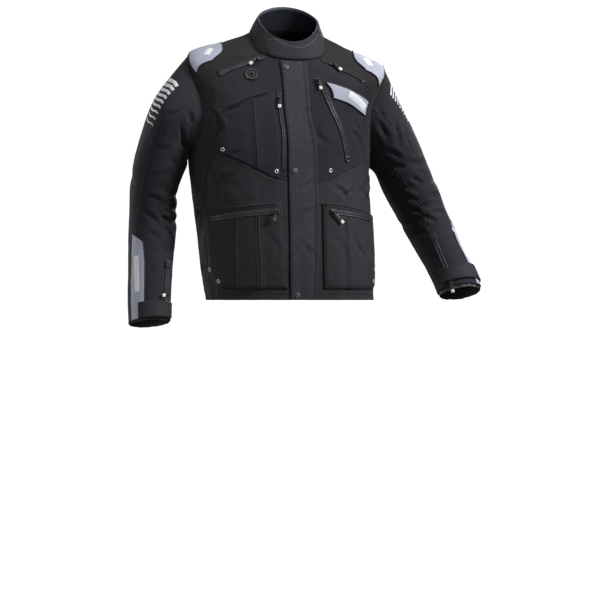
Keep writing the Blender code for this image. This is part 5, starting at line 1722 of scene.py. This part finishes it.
# lines of topstitching, painted near-black as the shade in the stitches' dip: beside which edge, how far in,
# and how wide
TOPSTITCH = {
    "storm_flap": (("end", 4.5, 1.3), ("end", 9.5, 1.2), ("start", 5.0, 0.8)),
    "collar": (("bottom", 7.0, 0.9), ("top", 6.5, 0.8)),
    "collar_tab": (("bottom", 5.0, 0.8), ("start", 5.0, 0.8)),
    **dict.fromkeys(("pocket_right", "pocket_left"), (("start", 5.5, 0.9), ("bottom", 5.5, 0.8))),
    **dict.fromkeys(("cuff_strap_right", "cuff_strap_left"), (("bottom", 4.0, 0.8), ("top", 4.0, 0.8))),
    **dict.fromkeys(("front_lower_right", "front_lower_left", "back"), (("bottom", 16.0, 1.0),)),
}


def make_topstitch():
    for name, rows in TOPSTITCH.items():
        lines = [band(*inset_line(*PIECES[name], edge, inset), width, 0.25) for edge, inset, width in rows]
        # near-black strips: painted shade along the topstitching
        strips(f"{name}_topstitch", lines, "painted_shade", 0.2, name)


def make_linings():
    """The left strap's light tip, the dark ruffled cloth inside each cuff, and the neck tape."""
    tip = band(*laid_line(on_sleeve("left"), STRAP_TIP), STRAP_TIP_WIDTH, ON_TAPE + DOUBLE + 0.6)
    strips("strap_tip_left", [tip], "light", 0.5, "cuff_strap_left")
    degrees = np.linspace(0, 360, 121)
    folds = np.radians(degrees)
    deep = CUFF_FACING["in"] + CUFF_FACING["ruffle"] * np.sin(11 * folds) * np.sin(4 * folds)
    for name in SIDES:
        points, away = on_sleeve(name)(degrees, CUFF_FACING["step"] + 0 * degrees)
        facing = band(points, -unit(away), CUFF_FACING["width"], deep)
        strips(f"cuff_facing_{name}", [facing], "cuff", 0.4, f"sleeve_outer_{name}")
    points, away = on_collar(ALL_ROUND, 0 * ALL_ROUND)
    strips("neck_tape", [band(points, -unit(away), 20, 2.4)], "inside", 0.4, "collar_lining")


# --- Stitches and teeth: many small solids in one piece ---
STITCH_LENGTH, STITCH_PITCH, THREAD = 3.1, 4.0, 0.34
TOOTH, TOOTH_PITCH, TOOTH_ASIDE = (2.2, 0.9, 1.1), 1.3, 0.7  # across, along and out of its tape
FIRST_TOOTH, PAST_SLIDER = 1.5, 14


def small_frame(centre, *axes):
    """A frame with its axes as long as the small solid is."""
    found = Matrix(axes).transposed().to_4x4()
    found.translation = centre
    return found


def keep_small(name, together, finish, on):
    bmesh.ops.scale(together, verts=together.verts, vec=(MM, MM, MM))
    trim(keep(name, together, FINISHES[finish]), on)


def make_stitches():
    """Every stitch of the seams, a short thread lying in the dip beside its seam."""
    for name, lines in STITCHED.items():
        together = bmesh.new()
        for points, away in lines:
            length = run_length(points)
            at = np.arange(STITCH_PITCH, length[-1] - STITCH_PITCH, STITCH_PITCH)
            centre, before, after = (read_line(points, length, at + shift) for shift in (0, -1, 1))
            out, along = read_line(away, length, at), unit(after - before)
            beside = unit(np.cross(out, along))
            for middle, ahead, side, up in zip(centre, along, beside, out):
                place = small_frame(middle + up * 0.05, ahead * STITCH_LENGTH / 2, side * THREAD, up * THREAD)
                bmesh.ops.create_icosphere(together, subdivisions=1, radius=1, matrix=place)
        if together.verts:
            keep_small(f"{name}_stitches", together, "thread", name)
        else:
            together.free()


def make_teeth():
    """The teeth that show from each zip's end to its slider."""
    for name in ZIPS:
        row, *lines = zip_run(name)
        length = run_length(lines[0])
        last = row["slider"] * length[-1] + PAST_SLIDER
        together = bmesh.new()
        for number, at in enumerate(np.arange(FIRST_TOOTH, last, TOOTH_PITCH)):
            centre, out, ahead, side = (read_line(values, length, at) for values in lines)
            centre = centre + out * (zip_base(row["lies"]) + TAPE) + side * TOOTH_ASIDE * (1, -1)[number % 2]
            axes = (axis * size for axis, size in zip((side, ahead, out), TOOTH))
            bmesh.ops.create_cube(together, size=1, matrix=small_frame(centre, *axes))
        keep_small(f"zip_{name}_teeth", together, "teeth", f"zip_{name}")


ZIP_EDGE_PLACE, ZIP_EDGE_WIDTH, ZIP_SHADE_LINE_WIDTH = 0.40, 1.5, 1.7  # the first is a share of the width


def make_zip_lines():
    """A zip's coated edges, one light line on each side, and a near-black line of painted shade where its
    halves meet.
    """
    for name in ZIPS:
        row, points, away, _, beside = zip_run(name)
        top = zip_base(row["lies"]) + TAPE_FACE
        edges = [band(points + beside * (row["width"] * at), away, ZIP_EDGE_WIDTH, top + 0.3, ROUND)
                 for at in (-ZIP_EDGE_PLACE, ZIP_EDGE_PLACE)]
        strips(f"zip_{name}_edges", edges, "zip_edge", 0, f"zip_{name}")
        if name != "cuff_right":
            # painted shade: the near-black line where the zip's halves meet
            middle = band(points, away, ZIP_SHADE_LINE_WIDTH, top + 0.55)
            strips(f"zip_{name}_middle", [middle], "painted_shade", 0.2, f"zip_{name}")


COVER_LENGTH, COVER_PAST, COVER_WIDTH, COVER_HEIGHT = 16, 6, 17, 3.6


def make_zip_ends():
    """The small covers over the cuff zips' upper ends, and the round end of the slanting chest zip."""
    for name in SIDES:
        row, points, away, along, _ = zip_run(f"cuff_{name}", 60)
        last = np.searchsorted(run_length(points), COVER_LENGTH)
        points = np.vstack([points[0] - along[0] * COVER_PAST, points[:last]])
        away = np.vstack([away[:1], away[:last]])
        cover = band(points, away, COVER_WIDTH, zip_base(row["lies"]) + COVER_HEIGHT, COVER)
        strips(f"zip_cover_{name}", [cover], "ripstop", 1.0, f"zip_cuff_{name}")
    seat = frame_on(on_body, *ZIPS["chest_left"][-1][-1], ON_SHELL)
    lathe("zip_chest_left_end", ZIP_END, seat, "tape", "zip_tape", "zip_chest_left", 32)


# --- Studio ---
CAMERA_TURN = -15  # degrees: the camera stands towards the wearer's right
CAMERA_DISTANCE = 6.0
FRAME_WIDTH = 1.56  # metres across the picture at that distance
CAMERA_ASIDE, CAMERA_HEIGHT = 0.0338, -0.6708
FLOOR = -1.42
BACKDROP, BACKDROP_BEND, BACKDROP_TOP = 10.0, 2.0, 9.0  # the white wall all round, in metres
AIM = (0, 0, -0.38)  # where the soft boxes point
ROOM_LIGHT = 0.08


def turned(degrees, distance, height, aside=0.0):
    """A place round the jacket: 0 is in front, and positive is towards the wearer's left."""
    angle = math.radians(degrees)
    ahead = Vector((-math.sin(angle), math.cos(angle), 0))
    return Vector((math.cos(angle), math.sin(angle), 0)) * aside - ahead * distance + Vector((0, 0, height))


def make_camera():
    lens = bpy.data.cameras.new("camera")
    lens.sensor_width = 36
    lens.lens = 36 * CAMERA_DISTANCE / FRAME_WIDTH
    lens.clip_end = 50
    camera = link("camera", lens)
    camera.location = turned(CAMERA_TURN, CAMERA_DISTANCE, CAMERA_HEIGHT, CAMERA_ASIDE)
    camera.rotation_euler = (math.radians(90), 0, math.radians(CAMERA_TURN))
    bpy.context.scene.camera = camera


# each soft box: turn, distance, height, width, tall, watts
SOFT_BOXES = {
    "key": (56, 4.4, 2.1, 1.2, 1.1, 255),
    "front": (-12, 4.6, -0.9, 2.2, 1.8, 22),
    "fill": (-78, 3.4, -0.9, 1.4, 1.6, 20),
    "top": (-25, 0.3, 2.8, 1.6, 1.2, 40),
    "behind": (150, 4.4, 1.9, 1.6, 1.4, 230),
    "behind low": (-140, 4.2, 0.2, 1.8, 1.8, 60),
}


def make_lights():
    for name, (turn, distance, height, width, tall, watts) in SOFT_BOXES.items():
        light = bpy.data.lights.new(name, "AREA")
        light.shape, light.size, light.size_y, light.energy = "RECTANGLE", width, tall, watts
        box = link(name, light)
        box.location = turned(turn, distance, height)
        box.rotation_euler = (Vector(AIM) - box.location).to_track_quat("-Z", "Y").to_euler()
    world = bpy.data.worlds.new("studio")
    bpy.context.scene.world = world
    world.use_nodes = True
    background = world.node_tree.nodes["Background"].inputs
    background["Color"].default_value = (1, 1, 1, 1)
    background["Strength"].default_value = ROOM_LIGHT
    bpy.context.scene.view_settings.view_transform = "Standard"


def make_backdrop():
    """A white floor that curves up into a wall all round."""
    flat, bend = BACKDROP - BACKDROP_BEND, BACKDROP_BEND
    curved = [(flat + bend * math.sin(t), FLOOR + bend - bend * math.cos(t))
              for t in np.linspace(0.2, math.pi / 2, 8)]
    sweep = spun([(0, FLOOR), (flat, FLOOR), *curved, (BACKDROP, BACKDROP_TOP)], 64, closed=False)
    bmesh.ops.recalc_face_normals(sweep, faces=sweep.faces)
    paper = Finish("backdrop_paper", (0.9, 0.9, 0.9), 0.9, Emission_Color=(1, 1, 1, 1), Emission_Strength=0.9)
    sheet = keep("backdrop", sweep, paper.material)
    sheet.visible_glossy = sheet.visible_diffuse = sheet.visible_shadow = False


def declare_sheets():
    for piece, name, flat, area, held, rests_on in SHEETS:
        min(area, flat[0] * flat[1])


def main():
    make_shell()
    make_sleeves()
    make_collar()
    make_storm_flap()
    make_pockets()
    make_patches()
    make_zip_tapes()
    make_sliders_and_pulls()
    make_snaps()
    make_port()
    make_eyelets()
    make_bars()
    make_blocks()
    make_bindings()
    make_collar_edges()
    make_shades()
    make_welts()
    make_topstitch()
    make_linings()
    make_teeth()
    make_zip_lines()
    make_zip_ends()
    make_stitches()
    make_backdrop()
    make_camera()
    make_lights()
    declare_sheets()


main()
